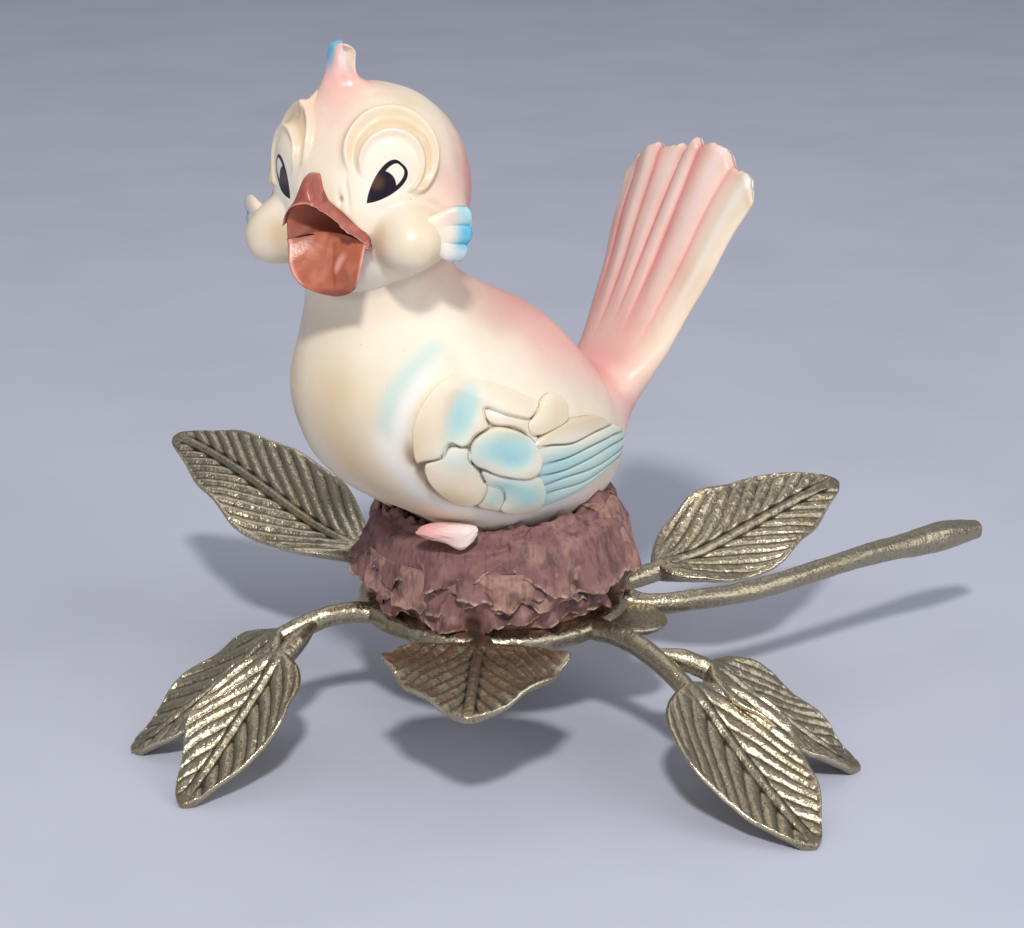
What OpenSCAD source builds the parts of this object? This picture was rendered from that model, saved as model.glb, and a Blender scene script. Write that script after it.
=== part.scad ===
// Porcelain bird on a nest, carried by a cast brass stand of leaf sprays.
// Millimetres. The table is z = 0, +X runs to the twig's side and the broad front leaf points to -Y.

/* [Stand ring and fixing] */
// Outside diameter of the cast ring
ring_d = 50; // [46:1:56]
// Width of the ring's bar
ring_bar_w = 5.5; // [5:0.5:7]
// Height of the ring's bar
ring_bar_h = 3.6; // [3:0.2:5]
// Height of the ring's top face above the table
ring_top = 22; // [19:1:26]
// Width of the strap across the ring
strap_w = 9; // [8:0.5:12]
// Thickness of the strap
strap_t = 1.6; // [1.2:0.2:2.4]
// Diameter of the stud that clamps the nest and the bird
stud_d = 4; // [3:0.5:5]
// Length of stud that stands past the nut
stud_past = 1; // [0.5:0.5:3]
// Length of stud inside the belly
stud_grip = 7; // [5:0.5:10]
// Width of the nut across its flats
nut_af = 7; // [6.5:0.5:9]
// Height of the nut
nut_h = 3.2; // [2:0.2:4]
// Outside diameter of the washer
washer_d = 8.5; // [8:0.5:11]
// Thickness of the washer
washer_t = 0.8; // [0.5:0.1:1.2]

/* [Leaves] */
// Thickness of a leaf blade
leaf_t = 1.8; // [1.4:0.1:2.6]
// Radius of a leaf's stem
stem_r = 1.9; // [1.5:0.1:2.3]
// Radius of a leaf's rounded tip
leaf_tip_r = 1.1; // [0.8:0.1:1.6]
// Length of bare stem on a leg's longer branch
leg_stem = 15; // [12:1:18]
// Length of bare stem on the front right leg's longer branch
front_right_stem = 21; // [18:1:24]
// Length of bare stem on a leg's shorter branch
branch_stem = 12; // [10:1:14]
// Length of bare stem on a back leaf
back_stem = 6; // [4:1:8]
// Reach of the back left leaf from the ring
back_left_reach = 58; // [50:1:64]
// Height of the back left leaf's tip above the table
back_left_tip_z = 33; // [28:1:38]
// Width of the back left leaf
back_left_w = 21; // [16:1:26]
// Reach of the back right leaf from the ring
back_right_reach = 49; // [42:1:56]
// Height of the back right leaf's tip above the table
back_right_tip_z = 30; // [25:1:35]
// Width of the back right leaf
back_right_w = 21; // [16:1:26]
// Reach of the broad front leaf from the ring
front_centre_reach = 28; // [24:1:34]
// Height of the broad front leaf's tip above the table
front_centre_tip_z = 19.5; // [16:0.5:23]
// Width of the broad front leaf
front_centre_w = 31; // [24:1:34]
// Reach of the front left outer leaf from the ring
front_left_outer_reach = 43; // [38:1:48]
// Width of the front left outer leaf
front_left_outer_w = 17; // [13:1:20]
// Reach of the front left inner leaf from the ring
front_left_inner_reach = 44; // [39:1:49]
// Width of the front left inner leaf
front_left_inner_w = 18; // [14:1:21]
// Reach of the front right outer leaf from the ring
front_right_outer_reach = 45; // [40:1:50]
// Width of the front right outer leaf
front_right_outer_w = 20; // [15:1:23]
// Reach of the front right inner leaf from the ring
front_right_inner_reach = 54; // [48:1:60]
// Width of the front right inner leaf
front_right_inner_w = 23; // [18:1:26]
// Reach of the two back leg leaves from the ring
back_leg_reach = 44; // [39:1:50]
// Width of each back leg leaf
back_leg_w = 18; // [14:1:21]

/* [Twig] */
// Radius of the twig
twig_r = 1.9; // [1.5:0.1:2.4]
// Radius of the bulb at the twig's end
twig_bulb_r = 2.9; // [2.4:0.1:3.6]
// Reach of the twig from the ring
twig_reach = 75; // [66:1:82]

/* [Nest] */
// Distance of the nest's flakes inside the ring's edge
nest_inset = 0.5; // [0:0.1:0.8]
// Height of the nest
nest_h = 17; // [15:1:20]
// Thickness of a bark flake
flake_t = 0.9; // [0.7:0.1:1.1]
// Distance that a flake's free edge stands off the core
flake_flare = 2.2; // [2:0.1:3]

/* [Bird] */
// Length of the egg-shaped body
body_len = 68; // [64:1:72]
// Diameter of the body
body_d = 42; // [39:1:45]
// Wall of the hollow castings
wall_t = 3; // [2.4:0.2:4]
// Depth that the belly sinks into the nest
sit_depth = 7; // [5:0.5:8]
// Diameter of the head across the temples
head_w = 32; // [30:1:35]
// Height of the head
head_h = 33.5; // [31:0.5:36]
// Height of the head's centre above the body's centre
head_rise = 45; // [43:1:48]
// Distance of the head's centre ahead of the body's centre
head_lead = 21; // [19:1:23]
// Diameter of the neck under the head
neck_d = 22.5; // [20:0.5:24]
// Diameter of the neck where it meets the body
neck_base_d = 25; // [24:0.5:28]
// Diameter of the neck spigot
spigot_d = 12; // [10:0.5:14]
// Height of the neck spigot
spigot_h = 6; // [4:0.5:8]
// Distance that a cheek puffs out
cheek_puff = 7.5; // [6:0.5:8.5]
// Width of the beak
beak_w = 14.5; // [13:0.5:16]
// Distance that the upper beak stands out from the face
beak_out = 5; // [4:0.5:6]
// Depth of the lower beak's rim over the face
beak_rim = 4; // [3:0.5:5]
// Height of the upper beak over the face
upper_beak_h = 13; // [11.5:0.5:14]
// Height of the lower beak
lower_beak_h = 10; // [9:0.5:11]
// Height of the crest feather
crest_h = 8; // [6:0.5:10]
// Width of a cheek tuft at its lobes
tuft_w = 9; // [7:0.5:11]
// Length of a cheek tuft
tuft_len = 7.5; // [6:0.5:9]
// Relief of the wing plates over the body
wing_relief = 1.6; // [1.2:0.2:2.4]
// Length of the covert plate
covert_len = 20; // [17:0.5:22]
// Height of the covert plate
covert_h = 20; // [17:0.5:22]
// Length of the longest flight feather
primary_len = 23; // [20:0.5:25]
// Width of one flight feather
primary_w = 1.9; // [1.5:0.1:2.1]
// Length of the tail from the rump
tail_len = 49; // [44:1:54]
// Width of the tail at its tip
tail_w = 36; // [30:1:40]
// Thickness of the tail near its tip
tail_t = 3.4; // [2.6:0.2:5]
// Length of a foot pad
foot_len = 11; // [9:0.5:13]
// Height of a foot pad
foot_h = 3; // [2.4:0.2:4]
// Thickness of a foot pad
foot_t = 2.6; // [2:0.2:3.4]

/* [Hidden] */
$fn = 96;

brass_tint = "#8f8264";
steel_tint = "#9a9c9e";
clay_tint = "#6e4c4a";
cream_tint = "#efe0c6";
pink_tint = "#e3a39b";
teal_tint = "#9fd0d2";
beak_tint = "#b8694f";

// Gap of cement or solder between two pieces that are joined
seat = 0.15;
// Depth that a piece is drawn into the skin which then cuts its seat
bury = 1;
// Clearance of the stud in the pieces that it passes through
stud_fit = 0.2;
up = [0, 0, 1];

ring_r = ring_d/2;
ring_hole_r = ring_r - ring_bar_w;
ring_mid = ring_top - ring_bar_h/2;
nest_top = ring_top + nest_h;
nest_r = ring_r - nest_inset;

// Vector helpers
function unit(v) = v/norm(v);
function mix(a, b, t) = a + (b - a)*t;
function ease(t) = let (c = max(0, min(1, t))) c*c*(3 - 2*c);
function heading(angle) = [cos(angle), sin(angle), 0];
function dir(around, rise) = [cos(rise)*cos(around), cos(rise)*sin(around), sin(rise)];
function bezier(p, t) =
    pow(1 - t, 3)*p[0] + 3*pow(1 - t, 2)*t*p[1] + 3*(1 - t)*t*t*p[2] + pow(t, 3)*p[3];
function bezier_dir(p, t) =
    unit(pow(1 - t, 2)*(p[1] - p[0]) + 2*(1 - t)*t*(p[2] - p[1]) + t*t*(p[3] - p[2]));

// Closed solid through rings of points, each ring turning left about the way from the first to the last.
// An end is closed by strips between points j and n - shift - j of its ring.
function strip_cap(n, shift) = [for (j = [0:floor((n - shift)/2) - 1])
    let (c = (n - shift - j - 1)%n, d = (n - shift - j)%n)
    each concat(c == j + 1 ? [] : [[j, j + 1, c]], d == j ? [] : [[j, c, d]])];

module loft(rings, shift = 0) {
    n = len(rings[0]);
    m = len(rings);
    sides = [for (i = [0:m - 2], j = [0:n - 1]) let (k = (j + 1)%n)
        each [[i*n + j, (i + 1)*n + j, (i + 1)*n + k], [i*n + j, (i + 1)*n + k, i*n + k]]];
    start = strip_cap(n, shift);
    end = [for (f = start) [f[0], f[2], f[1]] + (m - 1)*n*[1, 1, 1]];
    polyhedron([for (ring = rings) each ring], concat(sides, start, end), convexity = 6);
}

// Leaves: a midrib curve, a half width along it and a folded lens section.
// A leaf is [root angle, tip angle, reach, width, stem length, tip height, root lift, tip lift, roll]
function leaf(root, tip, reach, width, stem, tip_z, root_lift, tip_lift, roll) =
    [root, tip, reach, width, stem, tip_z, root_lift, tip_lift, roll];
leaf_steps = 14;
leaf_sides = 12;
leaf_fold = 0.2;
root_share = 0.34;
tip_share = 0.36;
root_flare = 1.25;

function on_ring(angle, side, lift) =
    (ring_r + seat)*heading(angle + side/(ring_r + seat)*180/PI) + up*(ring_mid + lift);
function leaf_tip(l) = (ring_r + l[2])*heading(l[1]) + up*l[5];
function midrib_from(start, way, l) = let (tip = leaf_tip(l), along = unit(tip - start))
    [start, start + way*l[2]*root_share + up*l[6],
     tip - [along.x, along.y, 0]*l[2]*tip_share + up*l[7], tip];
function midrib(l) = midrib_from(on_ring(l[0], 0, 0), heading(l[0]), l);

// Blade outline: nothing along the stem, widest a third of the way out, closing to the rounded tip
function blade(u) = u <= 0 || u >= 1 ? 0 : pow(sin(180*pow(u, 0.72)), 0.85);
function stem_share(l) = l[4]/l[2];
function leaf_half(l, t) = let (s = stem_share(l), thin = mix(stem_r, leaf_tip_r, t))
    thin + (l[3]/2 - thin)*blade((t - s)/(1 - s));
function leaf_thick(l, t) = mix(2*stem_r, leaf_t, ease((t - stem_share(l))/0.2));

function leaf_side(path, t, roll) = let (along = bezier_dir(path, t), flat = unit(cross(up, along)))
    flat*cos(roll) + cross(along, flat)*sin(roll);
function leaf_section(l, path, t) = let (
        roll = l[8]*ease(t/0.4),
        side = leaf_side(path, t, roll),
        face = cross(bezier_dir(path, t), side),
        half = leaf_half(l, t),
        thick = leaf_thick(l, t),
        fold = leaf_fold*(half - min(half, stem_r)))
    [for (j = [0:leaf_sides - 1]) let (a = 360*j/leaf_sides)
        bezier(path, t) + side*half*cos(a) + face*(thick/2*sin(a) + fold*pow(cos(a), 2))];
function blade_rings(l, path) = [for (k = [1:leaf_steps]) leaf_section(l, path, k/leaf_steps)];
function ring_root(angle, r) = [for (j = [0:leaf_sides - 1]) let (a = 360*j/leaf_sides)
    on_ring(angle, r*root_flare*cos(a), min(r, ring_bar_h/2)*sin(a))];
function leaf_rings(l) = concat([ring_root(l[0], stem_r)], blade_rings(l, midrib(l)));

// A branch leaf forks off another leaf's stem, at a share t of that stem; turn is 1 for its left
function branch_rings(l, host, t, turn) = let (
        path = midrib(host),
        along = bezier_dir(path, t),
        side = leaf_side(path, t, 0),
        face = cross(along, side),
        foot = bezier(path, t),
        start = [for (j = [0:leaf_sides - 1]) let (a = 360*j/leaf_sides)
            foot + branch_r*(face*sin(a) - along*turn*cos(a))])
    concat([start], blade_rings(l, midrib_from(foot, unit(side*turn + along*1.2), l)));
branch_r = 0.8*stem_r;

// A leg's tip lies this high at its middle, so that grinding it flat leaves a small foot
leg_tip_z = 0.3;
front_stem = 2;
back_left = leaf(146, 141, back_left_reach, back_left_w, back_stem, back_left_tip_z, 3, 0, -28);
back_right = leaf(16, 26.5, back_right_reach, back_right_w, back_stem, back_right_tip_z, 2, -2, 30);
front_centre = leaf(264, 265, front_centre_reach, front_centre_w, front_stem, front_centre_tip_z, 1, 1, 0);
front_left_outer = leaf(200, 200.5, front_left_outer_reach, front_left_outer_w, leg_stem, leg_tip_z, 3, 7, 0);
front_left_inner = leaf(0, 220.5, front_left_inner_reach, front_left_inner_w, branch_stem, leg_tip_z, 1, 6, 0);
front_right_inner =
    leaf(317, 310.5, front_right_inner_reach, front_right_inner_w, front_right_stem, leg_tip_z, 2, 6, 0);
front_right_outer = leaf(0, 333, front_right_outer_reach, front_right_outer_w, branch_stem, leg_tip_z, 1, 7, 0);
back_leg_left = leaf(92, 102, back_leg_reach, back_leg_w, leg_stem, leg_tip_z, 3, 6, 0);
back_leg_right = leaf(0, 79, back_leg_reach, back_leg_w, branch_stem, leg_tip_z, 1, 6, 0);
fork_share = 0.19;

// Twig: a round bar with a gentle wave that swells into a bulb
twig_root_angle = 349;
twig_tip_angle = 19.5;
twig_wave = 1.6;
twig_steps = 16;
twig_path = let (a = on_ring(twig_root_angle, 0, 0),
        b = (ring_r + twig_reach)*heading(twig_tip_angle) + up*ring_mid)
    [a, a + heading(twig_root_angle)*twig_reach*0.25, mix(a, b, 0.68) + up*twig_wave, b];
function twig_half(t) = t < 1 ? mix(twig_r, twig_bulb_r, 0.9*pow(sin(180*pow(t, 5)), 2)) : 0.55*twig_r;
twig_rings = concat([ring_root(twig_root_angle, twig_r*1.2)],
    [for (k = [1:twig_steps]) let (t = k/twig_steps, side = leaf_side(twig_path, t, 0),
            face = cross(bezier_dir(twig_path, t), side))
        [for (j = [0:leaf_sides - 1]) let (a = 360*j/leaf_sides)
            bezier(twig_path, t) + (side*cos(a) + face*sin(a))*twig_half(t)]]);

rings_back_left = leaf_rings(back_left);
rings_back_right = leaf_rings(back_right);
rings_front_centre = leaf_rings(front_centre);
rings_front_left_outer = leaf_rings(front_left_outer);
rings_front_left_inner = branch_rings(front_left_inner, front_left_outer, fork_share, 1);
rings_front_right_inner = leaf_rings(front_right_inner);
rings_front_right_outer = branch_rings(front_right_outer, front_right_inner, fork_share, 1);
rings_back_leg_left = leaf_rings(back_leg_left);
rings_back_leg_right = branch_rings(back_leg_right, back_leg_left, fork_share, -1);

// The origin is the middle of the whole part's outline on the table
spread = [for (rings = [rings_back_left, rings_back_right, rings_front_centre, rings_front_left_outer,
        rings_front_left_inner, rings_front_right_inner, rings_front_right_outer, rings_back_leg_left,
        rings_back_leg_right, twig_rings]) each [for (ring = rings) each ring]];
spread_x = [for (p = spread) p.x];
spread_y = [for (p = spread) p.y];
plan_centre = [(min(spread_x) + max(spread_x))/2, (min(spread_y) + max(spread_y))/2, 0];
table_cut = 4;
table_size = 4*max(max(spread_x), -min(spread_x));

module centred() {
    translate(-plan_centre) children();
}

// A leg spray is two leaves cast in one, ground flat where their tips meet the table
module spray(first, second) {
    color(brass_tint) centred() difference() {
        union() {
            loft(first);
            loft(second);
        }
        translate([0, 0, -table_cut]) linear_extrude(table_cut) square(table_size, center = true);
    }
}

module front_left_spray() {
    spray(rings_front_left_outer, rings_front_left_inner);
}

module front_right_spray() {
    spray(rings_front_right_inner, rings_front_right_outer);
}

module back_spray() {
    spray(rings_back_leg_left, rings_back_leg_right);
}

module stand_ring() {
    bevel = ring_bar_h/3;
    color(brass_tint) centred() translate([0, 0, ring_top - ring_bar_h]) rotate_extrude() {
        translate([ring_hole_r, 0]) square([ring_bar_w - bevel, ring_bar_h]);
        translate([ring_r - bevel, 0]) square([bevel, ring_bar_h - bevel]);
        intersection() {
            translate([ring_r - bevel, ring_bar_h - bevel]) circle(bevel);
            translate([ring_r - bevel, ring_bar_h - bevel]) square(bevel);
        }
    }
}

module fixing_strap() {
    color(brass_tint) centred() translate([0, 0, ring_top - strap_t]) difference() {
        intersection() {
            translate([-ring_d/2, -strap_w/2, 0]) cube([ring_d, strap_w, strap_t]);
            cylinder(r = ring_hole_r - seat, h = strap_t);
        }
        translate([0, 0, -strap_t]) cylinder(d = stud_d + 2*stud_fit, h = 3*strap_t);
    }
}

strap_under = ring_top - strap_t;
stud_low = strap_under - washer_t - nut_h - stud_past;

module fixing_stud() {
    stud_high = belly_entry + stud_grip;
    color(steel_tint) centred() translate([0, 0, stud_low]) cylinder(d = stud_d, h = stud_high - stud_low);
}

module fixing_washer() {
    color(steel_tint) centred() translate([0, 0, strap_under - washer_t]) difference() {
        cylinder(d = washer_d, h = washer_t);
        translate([0, 0, -washer_t]) cylinder(d = stud_d + 2*stud_fit, h = 3*washer_t);
    }
}

module fixing_nut() {
    color(steel_tint) centred() translate([0, 0, strap_under - washer_t - nut_h]) difference() {
        cylinder(d = nut_af/cos(30), h = nut_h, $fn = 6);
        translate([0, 0, -nut_h]) cylinder(d = stud_d + seat, h = 3*nut_h);
    }
}

module twig() {
    color(brass_tint) centred() loft(twig_rings);
}

module leaf_back_left() {
    color(brass_tint) centred() loft(rings_back_left);
}

module leaf_back_right() {
    color(brass_tint) centred() loft(rings_back_right);
}

module leaf_front_centre() {
    color(brass_tint) centred() loft(rings_front_centre);
}

// Bird's body: an egg about its own long axis, blunt at the breast
body_pitch = 25;
body_turn = 217;
body_lead = 4;
egg_blunt = 0.1;
egg_steps = 48;

function egg_r(a) = let (p = body_len/2, q = body_d/2)
    p*q/sqrt(pow(q*cos(a), 2) + pow(p*sin(a), 2))*(1 + egg_blunt*cos(a));
body_skin = function (d) egg_r(acos(max(-1, min(1, d.x))));
egg_drop = max([for (a = [0:3:180]) egg_r(a)*sin(a - body_pitch)]);
body_centre = heading(body_turn)*body_lead + up*(nest_top - sit_depth + egg_drop);
head_centre = body_centre + heading(body_turn)*head_lead + up*head_rise;

// Height at which the belly's skin crosses the stud's axis
belly_entry = let (back = -body_lead,
        hits = [for (a = [90:1:180]) let (x = egg_r(a)*cos(a - body_pitch), z = -egg_r(a)*sin(a - body_pitch))
            [abs(x - back), z]])
    body_centre.z + [for (h = hits) if (h[0] == min([for (k = hits) k[0]])) h[1]][0];

module in_body() {
    translate(body_centre) rotate([0, -body_pitch, body_turn]) children();
}

module egg(grow) {
    in_body() rotate([0, 90, 0]) rotate_extrude()
        polygon([for (k = [0:egg_steps]) let (a = 180*k/egg_steps) (egg_r(a) + grow)*[abs(sin(a)), cos(a)]]);
}

// Head: a rounded skull with two cheek puffs, as a distance from its centre in each direction
head_turn = 242;
head_roll = 3;
cheek_around = 51;
cheek_rise = -24;
cheek_spread = 18.5;
muzzle_puff = 3.2;
muzzle_rise = -48;
muzzle_spread = 36;
brow_puff = 1.6;
brow_around = 55;
brow_rise = 36;
brow_spread = 24;
head_rows = 22;
head_cols = 36;

function apart(a, b) = acos(max(-1, min(1, a*b)));
function puff(d, at, size, spread) = size*exp(-pow(apart(d, at)/spread, 2));
head_skin = function (d)
    1/norm([d.x/(head_w/2), d.y/(head_w/2), d.z/(head_h/2)])
    + puff(d, dir(cheek_around, cheek_rise), cheek_puff, cheek_spread)
    + puff(d, dir(-cheek_around, cheek_rise), cheek_puff, cheek_spread)
    + puff(d, dir(brow_around, brow_rise), brow_puff, brow_spread)
    + puff(d, dir(-brow_around, brow_rise), brow_puff, brow_spread)
    + puff(d, dir(0, muzzle_rise), muzzle_puff, muzzle_spread);

module in_head() {
    translate(head_centre) rotate([head_roll, 0, head_turn]) children();
}

module head_shell(grow) {
    rows = [for (i = [1:head_rows - 1]) [for (j = [0:head_cols - 1])
        let (d = dir(360*j/head_cols, -90 + 180*i/head_rows)) d*(head_skin(d) + grow)]];
    in_head() loft(rows);
}

// The neck stands upright under the head, and its shoulder carries the head
neck_drop = 0.33;
neck_top = head_centre.z - neck_drop*head_h;
neck_low = body_centre.z + 0.36*body_d;
cavity_lift = 2;
cavity_r = head_w/2 - wall_t - cavity_lift/2;
cavity_fn = 32;

module neck(low_r, top_r, from, to) {
    translate([head_centre.x, head_centre.y, from]) cylinder(r1 = low_r, r2 = top_r, h = to - from);
}

module neck_cone(grow) {
    neck(neck_base_d/2 + grow, neck_d/2 + grow, neck_low, neck_top);
}

module bird_body() {
    color(cream_tint) centred() difference() {
        union() {
            egg(0);
            neck_cone(0);
            neck(spigot_d/2, spigot_d/2, neck_low, neck_top + spigot_h);
        }
        egg(-wall_t);
        neck(spigot_d/2 - wall_t, spigot_d/2 - wall_t, neck_low - wall_t, neck_top + 2*spigot_h);
        cylinder(d = stud_d + 2*stud_fit, h = body_centre.z);
    }
}

module bird_head() {
    color(cream_tint) centred() difference() {
        head_shell(0);
        translate(head_centre + up*cavity_lift) sphere(cavity_r, $fn = cavity_fn);
        neck_cone(seat);
        neck(spigot_d/2 + seat, spigot_d/2 + seat, neck_low, head_centre.z);
    }
}

// Pieces that are luted to the head or to the body, each with its seat cut by that skin
module on_head() {
    centred() difference() {
        in_head() children();
        head_shell(seat);
        neck_cone(seat);
    }
}

module on_body() {
    centred() difference() {
        in_body() children();
        egg(seat);
    }
}

// Plates and pads that lie on a skin: a point p in millimetres to the left and up from e0, wrapped on the skin
plate_low = [0.2, 0.6, 1];
plate_high = [1, 0.9, 0.75, 0.5, 0.2];
function skin_left(e) = unit(cross(up, e));
function on_skin(skin, e0, e1, e2, p, lift) = let (
        far = norm(p),
        turn = far/skin(e0)*180/PI,
        d = far == 0 ? e0 : e0*cos(turn) + (e1*p.x + e2*p.y)/far*sin(turn))
    d*(skin(d) + lift);

// A plate has an outline round mid, an underside at a depth in the skin and a height over it
function plate_rings(skin, e0, mid, outline, depth, height, sides) = let (
        e1 = skin_left(e0),
        e2 = cross(e0, e1),
        edge = [for (j = [0:sides - 1]) outline(360*j/sides)])
    concat(
        [for (s = plate_low) [for (p = edge) on_skin(skin, e0, e1, e2, mid + p*s, -depth(p*s))]],
        [for (s = plate_high) [for (p = edge) on_skin(skin, e0, e1, e2, mid + p*s, height(p*s, s))]]);
buried = function (p) bury;

beak_sides = 24;

// Upper beak: a hood over the open mouth, with an arched lower edge and a lip that stands out
upper_beak_at = dir(0, -1);
beak_peak = 0.36;
beak_square = 0.65;
beak_arch = 0.72;
beak_edge = 0.6;

module upper_beak() {
    top = beak_peak*upper_beak_h;
    low = upper_beak_h - top;
    shape = function (a) let (c = cos(a), s = sin(a), x = sign(c)*pow(abs(c), beak_square))
        s > 0 ? [beak_w/2*x*(1 - 0.5*s), top*s]
        : [beak_w/2*x, -low*pow(-s, beak_square)*(1 - beak_arch*(1 - x*x))];
    hood = function (p, s) let (
            ridge = pow(max(0, 1 - pow(p.x/(beak_w/2), 2)), 0.7),
            over = ease((top - p.y)/top),
            under = ease((low + p.y)/low))
        beak_edge + beak_out*ridge*(p.y > 0 ? over : under);
    color(beak_tint) on_head()
        loft(plate_rings(head_skin, upper_beak_at, [0, 0], shape, buried, hood, beak_sides));
}

// Lower beak: a scoop with a raised rim, seated on the chin, whose tip hangs clear of the neck
lower_beak_at = dir(0, -29);
beak_hang = 2.6;
beak_floor = 1.2;
beak_rim_at = 0.9;

module lower_beak() {
    tall = lower_beak_h/2;
    shape = function (a) let (c = cos(a), s = sin(a)) [beak_w/2*c*(1 - 0.15*s*s), tall*s];
    hang = function (p) beak_hang*ease(-p.y/tall);
    under = function (p) p.y > 0 ? bury : bury - (bury + beak_hang)*ease(-p.y/tall);
    scoop = function (p, s) let (rim = beak_rim*(0.7 + 0.2*p.y/tall))
        hang(p) + (s > beak_rim_at ? 0.5*rim : beak_floor + (rim - beak_floor)*pow(s/beak_rim_at, 4));
    color(beak_tint) on_head()
        loft(plate_rings(head_skin, lower_beak_at, [0, 0], shape, under, scoop, beak_sides));
}

// Feathers that stand off a skin: a curved spine with an oval section
spine_sides = 14;
function spine_rings(skin, e0, side, path, wide, thick, steps) = let (e2 = cross(e0, side))
    concat([[for (j = [0:spine_sides - 1]) let (a = 360*j/spine_sides)
            on_skin(skin, e0, side, e2, [wide(0)*cos(a), thick(0)*sin(a)], -bury)]],
        [for (k = [1:steps]) let (t = k/steps, face = cross(bezier_dir(path, t), side))
            [for (j = [0:spine_sides - 1]) let (a = 360*j/spine_sides)
                bezier(path, t) + side*wide(t)*cos(a) + face*thick(t)*sin(a)]]);

module crest_feather() {
    e0 = dir(-24, 71);
    root = e0*head_skin(e0);
    path = [root, root + e0*crest_h*0.4, root + [0, 0.05, 0.7]*crest_h, root + [0.08, 0.12, 1]*crest_h];
    wide = function (t) mix(3.8, 2, ease(t*1.7));
    thick = function (t) mix(2.8, 0.8, ease(t*1.7));
    color(pink_tint) on_head() loft(spine_rings(head_skin, e0, [0, 1, 0], path, wide, thick, 8));
}

// Cheek tuft: a short flat fan that stands out of the cheek
module cheek_tuft() {
    e0 = dir(58, -15);
    out = dir(130, -10);
    side = unit(cross([1, 0, 0], e0));
    root = e0*head_skin(e0);
    path = [root, root + e0*tuft_len*0.25, root + out*tuft_len*0.7, root + out*tuft_len];
    wide = function (t) tuft_w/2*(t < 1 ? 0.6 + 0.4*ease(t*1.4) : 0.75);
    thick = function (t) mix(1.8, 0.7, t);
    loft(spine_rings(head_skin, e0, side, path, wide, thick, 6));
}

module left_cheek_tuft() {
    color(teal_tint) on_head() cheek_tuft();
}

module right_cheek_tuft() {
    color(teal_tint) on_head() mirror([0, 1, 0]) cheek_tuft();
}

// Wings: a lobed covert plate at the shoulder, and a fan of flight feathers behind it
wing_at = dir(85, -3);
covert_mid = [-9, -1.5];
covert_lobes = 7;
covert_wave = 0.05;
primary_count = 5;
primary_slant = 22;
primary_lap = 0.3;
primary_step = 0.04;
primary_drop = -3.5;
wing_gap = 0.4;

module wing_coverts() {
    shape = function (a) (1 + covert_wave*cos(covert_lobes*a))*[covert_len/2*cos(a), covert_h/2*sin(a)];
    relief = function (p, s) wing_relief*(s < 1 ? 1 : 0.5);
    loft(plate_rings(body_skin, wing_at, covert_mid, shape, buried, relief, 28));
}

// The feathers lap over each other's edges, so that each fan is one piece
module wing_primaries() {
    along = [cos(primary_slant), sin(primary_slant)];
    across = [-sin(primary_slant), cos(primary_slant)];
    root_x = covert_mid.x + covert_len/2*(1 + covert_wave) + wing_gap;
    for (k = [0:primary_count - 1]) {
        row = (k - (primary_count - 1)/2)*(primary_w - primary_lap);
        half = primary_len*(1 - primary_step*k)/2;
        mid = [root_x, primary_drop + row/cos(primary_slant)] + along*half;
        shape = function (a) along*half*sign(cos(a))*pow(abs(cos(a)), 0.7)
            + across*primary_w/2*sign(sin(a))*pow(abs(sin(a)), 0.7);
        relief = function (p, s) wing_relief*(s < 1 ? 0.9 : 0.5);
        loft(plate_rings(body_skin, wing_at, mid, shape, buried, relief, 16));
    }
}

module left_wing_coverts() {
    color(cream_tint) on_body() wing_coverts();
}

module right_wing_coverts() {
    color(cream_tint) on_body() mirror([0, 1, 0]) wing_coverts();
}

module left_wing_primaries() {
    color(teal_tint) on_body() wing_primaries();
}

module right_wing_primaries() {
    color(teal_tint) on_body() mirror([0, 1, 0]) wing_primaries();
}

// Tail: a fan that leaves the rump, narrows to a waist and widens to a rounded tip
tail_at = unit([-25, 0, 12]);
tail_way = unit([-4, 0, 48]);
tail_root_half = 8.4;
tail_root_thick = 5.5;
tail_round = 7;

module tail_fan() {
    steps = 12;
    side = [0, 1, 0];
    root = tail_at*body_skin(tail_at);
    tip = root + tail_way*tail_len;
    path = [root, root + tail_at*tail_len*0.06 + tail_way*tail_len*0.12, mix(root, tip, 0.6), tip];
    wide = function (t) mix(tail_root_half, tail_w/2, pow(t, 1.05));
    thick = function (t) mix(tail_root_thick, tail_t/2, ease(t*2.2));
    flat_rings = spine_rings(body_skin, tail_at, side, path, wide, thick, steps);
    rounded = [for (k = [0:steps]) [for (p = flat_rings[k])
        p - tail_way*tail_round*pow(k/steps, 3)*pow(p.y/(tail_w/2), 2)]];
    color(pink_tint) on_body() loft(rounded);
}

// Foot pads: lumps of clay at the foot of the belly, set as low as the nest's rim lets them
foot_around = 58;
function body_height(p) = body_centre.z + p.x*sin(body_pitch) + p.z*cos(body_pitch);
function foot_rings(rise) = let (
        shape = function (a) [foot_len/2*cos(a), foot_h/2*sin(a)],
        relief = function (p, s) foot_t*(1 - 0.7*pow(s, 4)))
    plate_rings(body_skin, dir(foot_around, rise), [0, 0], shape, buried, relief, 16);
function lowest(rings) = min([for (ring = rings) each [for (p = ring) body_height(p)]]);
foot_rise = min([for (rise = [-80:1:0]) if (lowest(foot_rings(rise)) >= nest_top + seat) rise]);

module left_foot() {
    color(pink_tint) on_body() loft(foot_rings(foot_rise));
}

module right_foot() {
    color(pink_tint) on_body() mirror([0, 1, 0]) loft(foot_rings(foot_rise));
}

// Nest: a core with a seat for the belly, and tiers of bark flakes that overlap like tiles
core_draw = 1;
function core_r(h) = nest_r - flake_flare - flake_t - seat - core_draw*h;

module nest_core() {
    color(clay_tint) centred() difference() {
        translate([0, 0, ring_top]) cylinder(r1 = core_r(0), r2 = core_r(1), h = nest_h);
        egg(seat);
        cylinder(d = stud_d + 2*stud_fit, h = nest_top + nest_h);
    }
}

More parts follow.
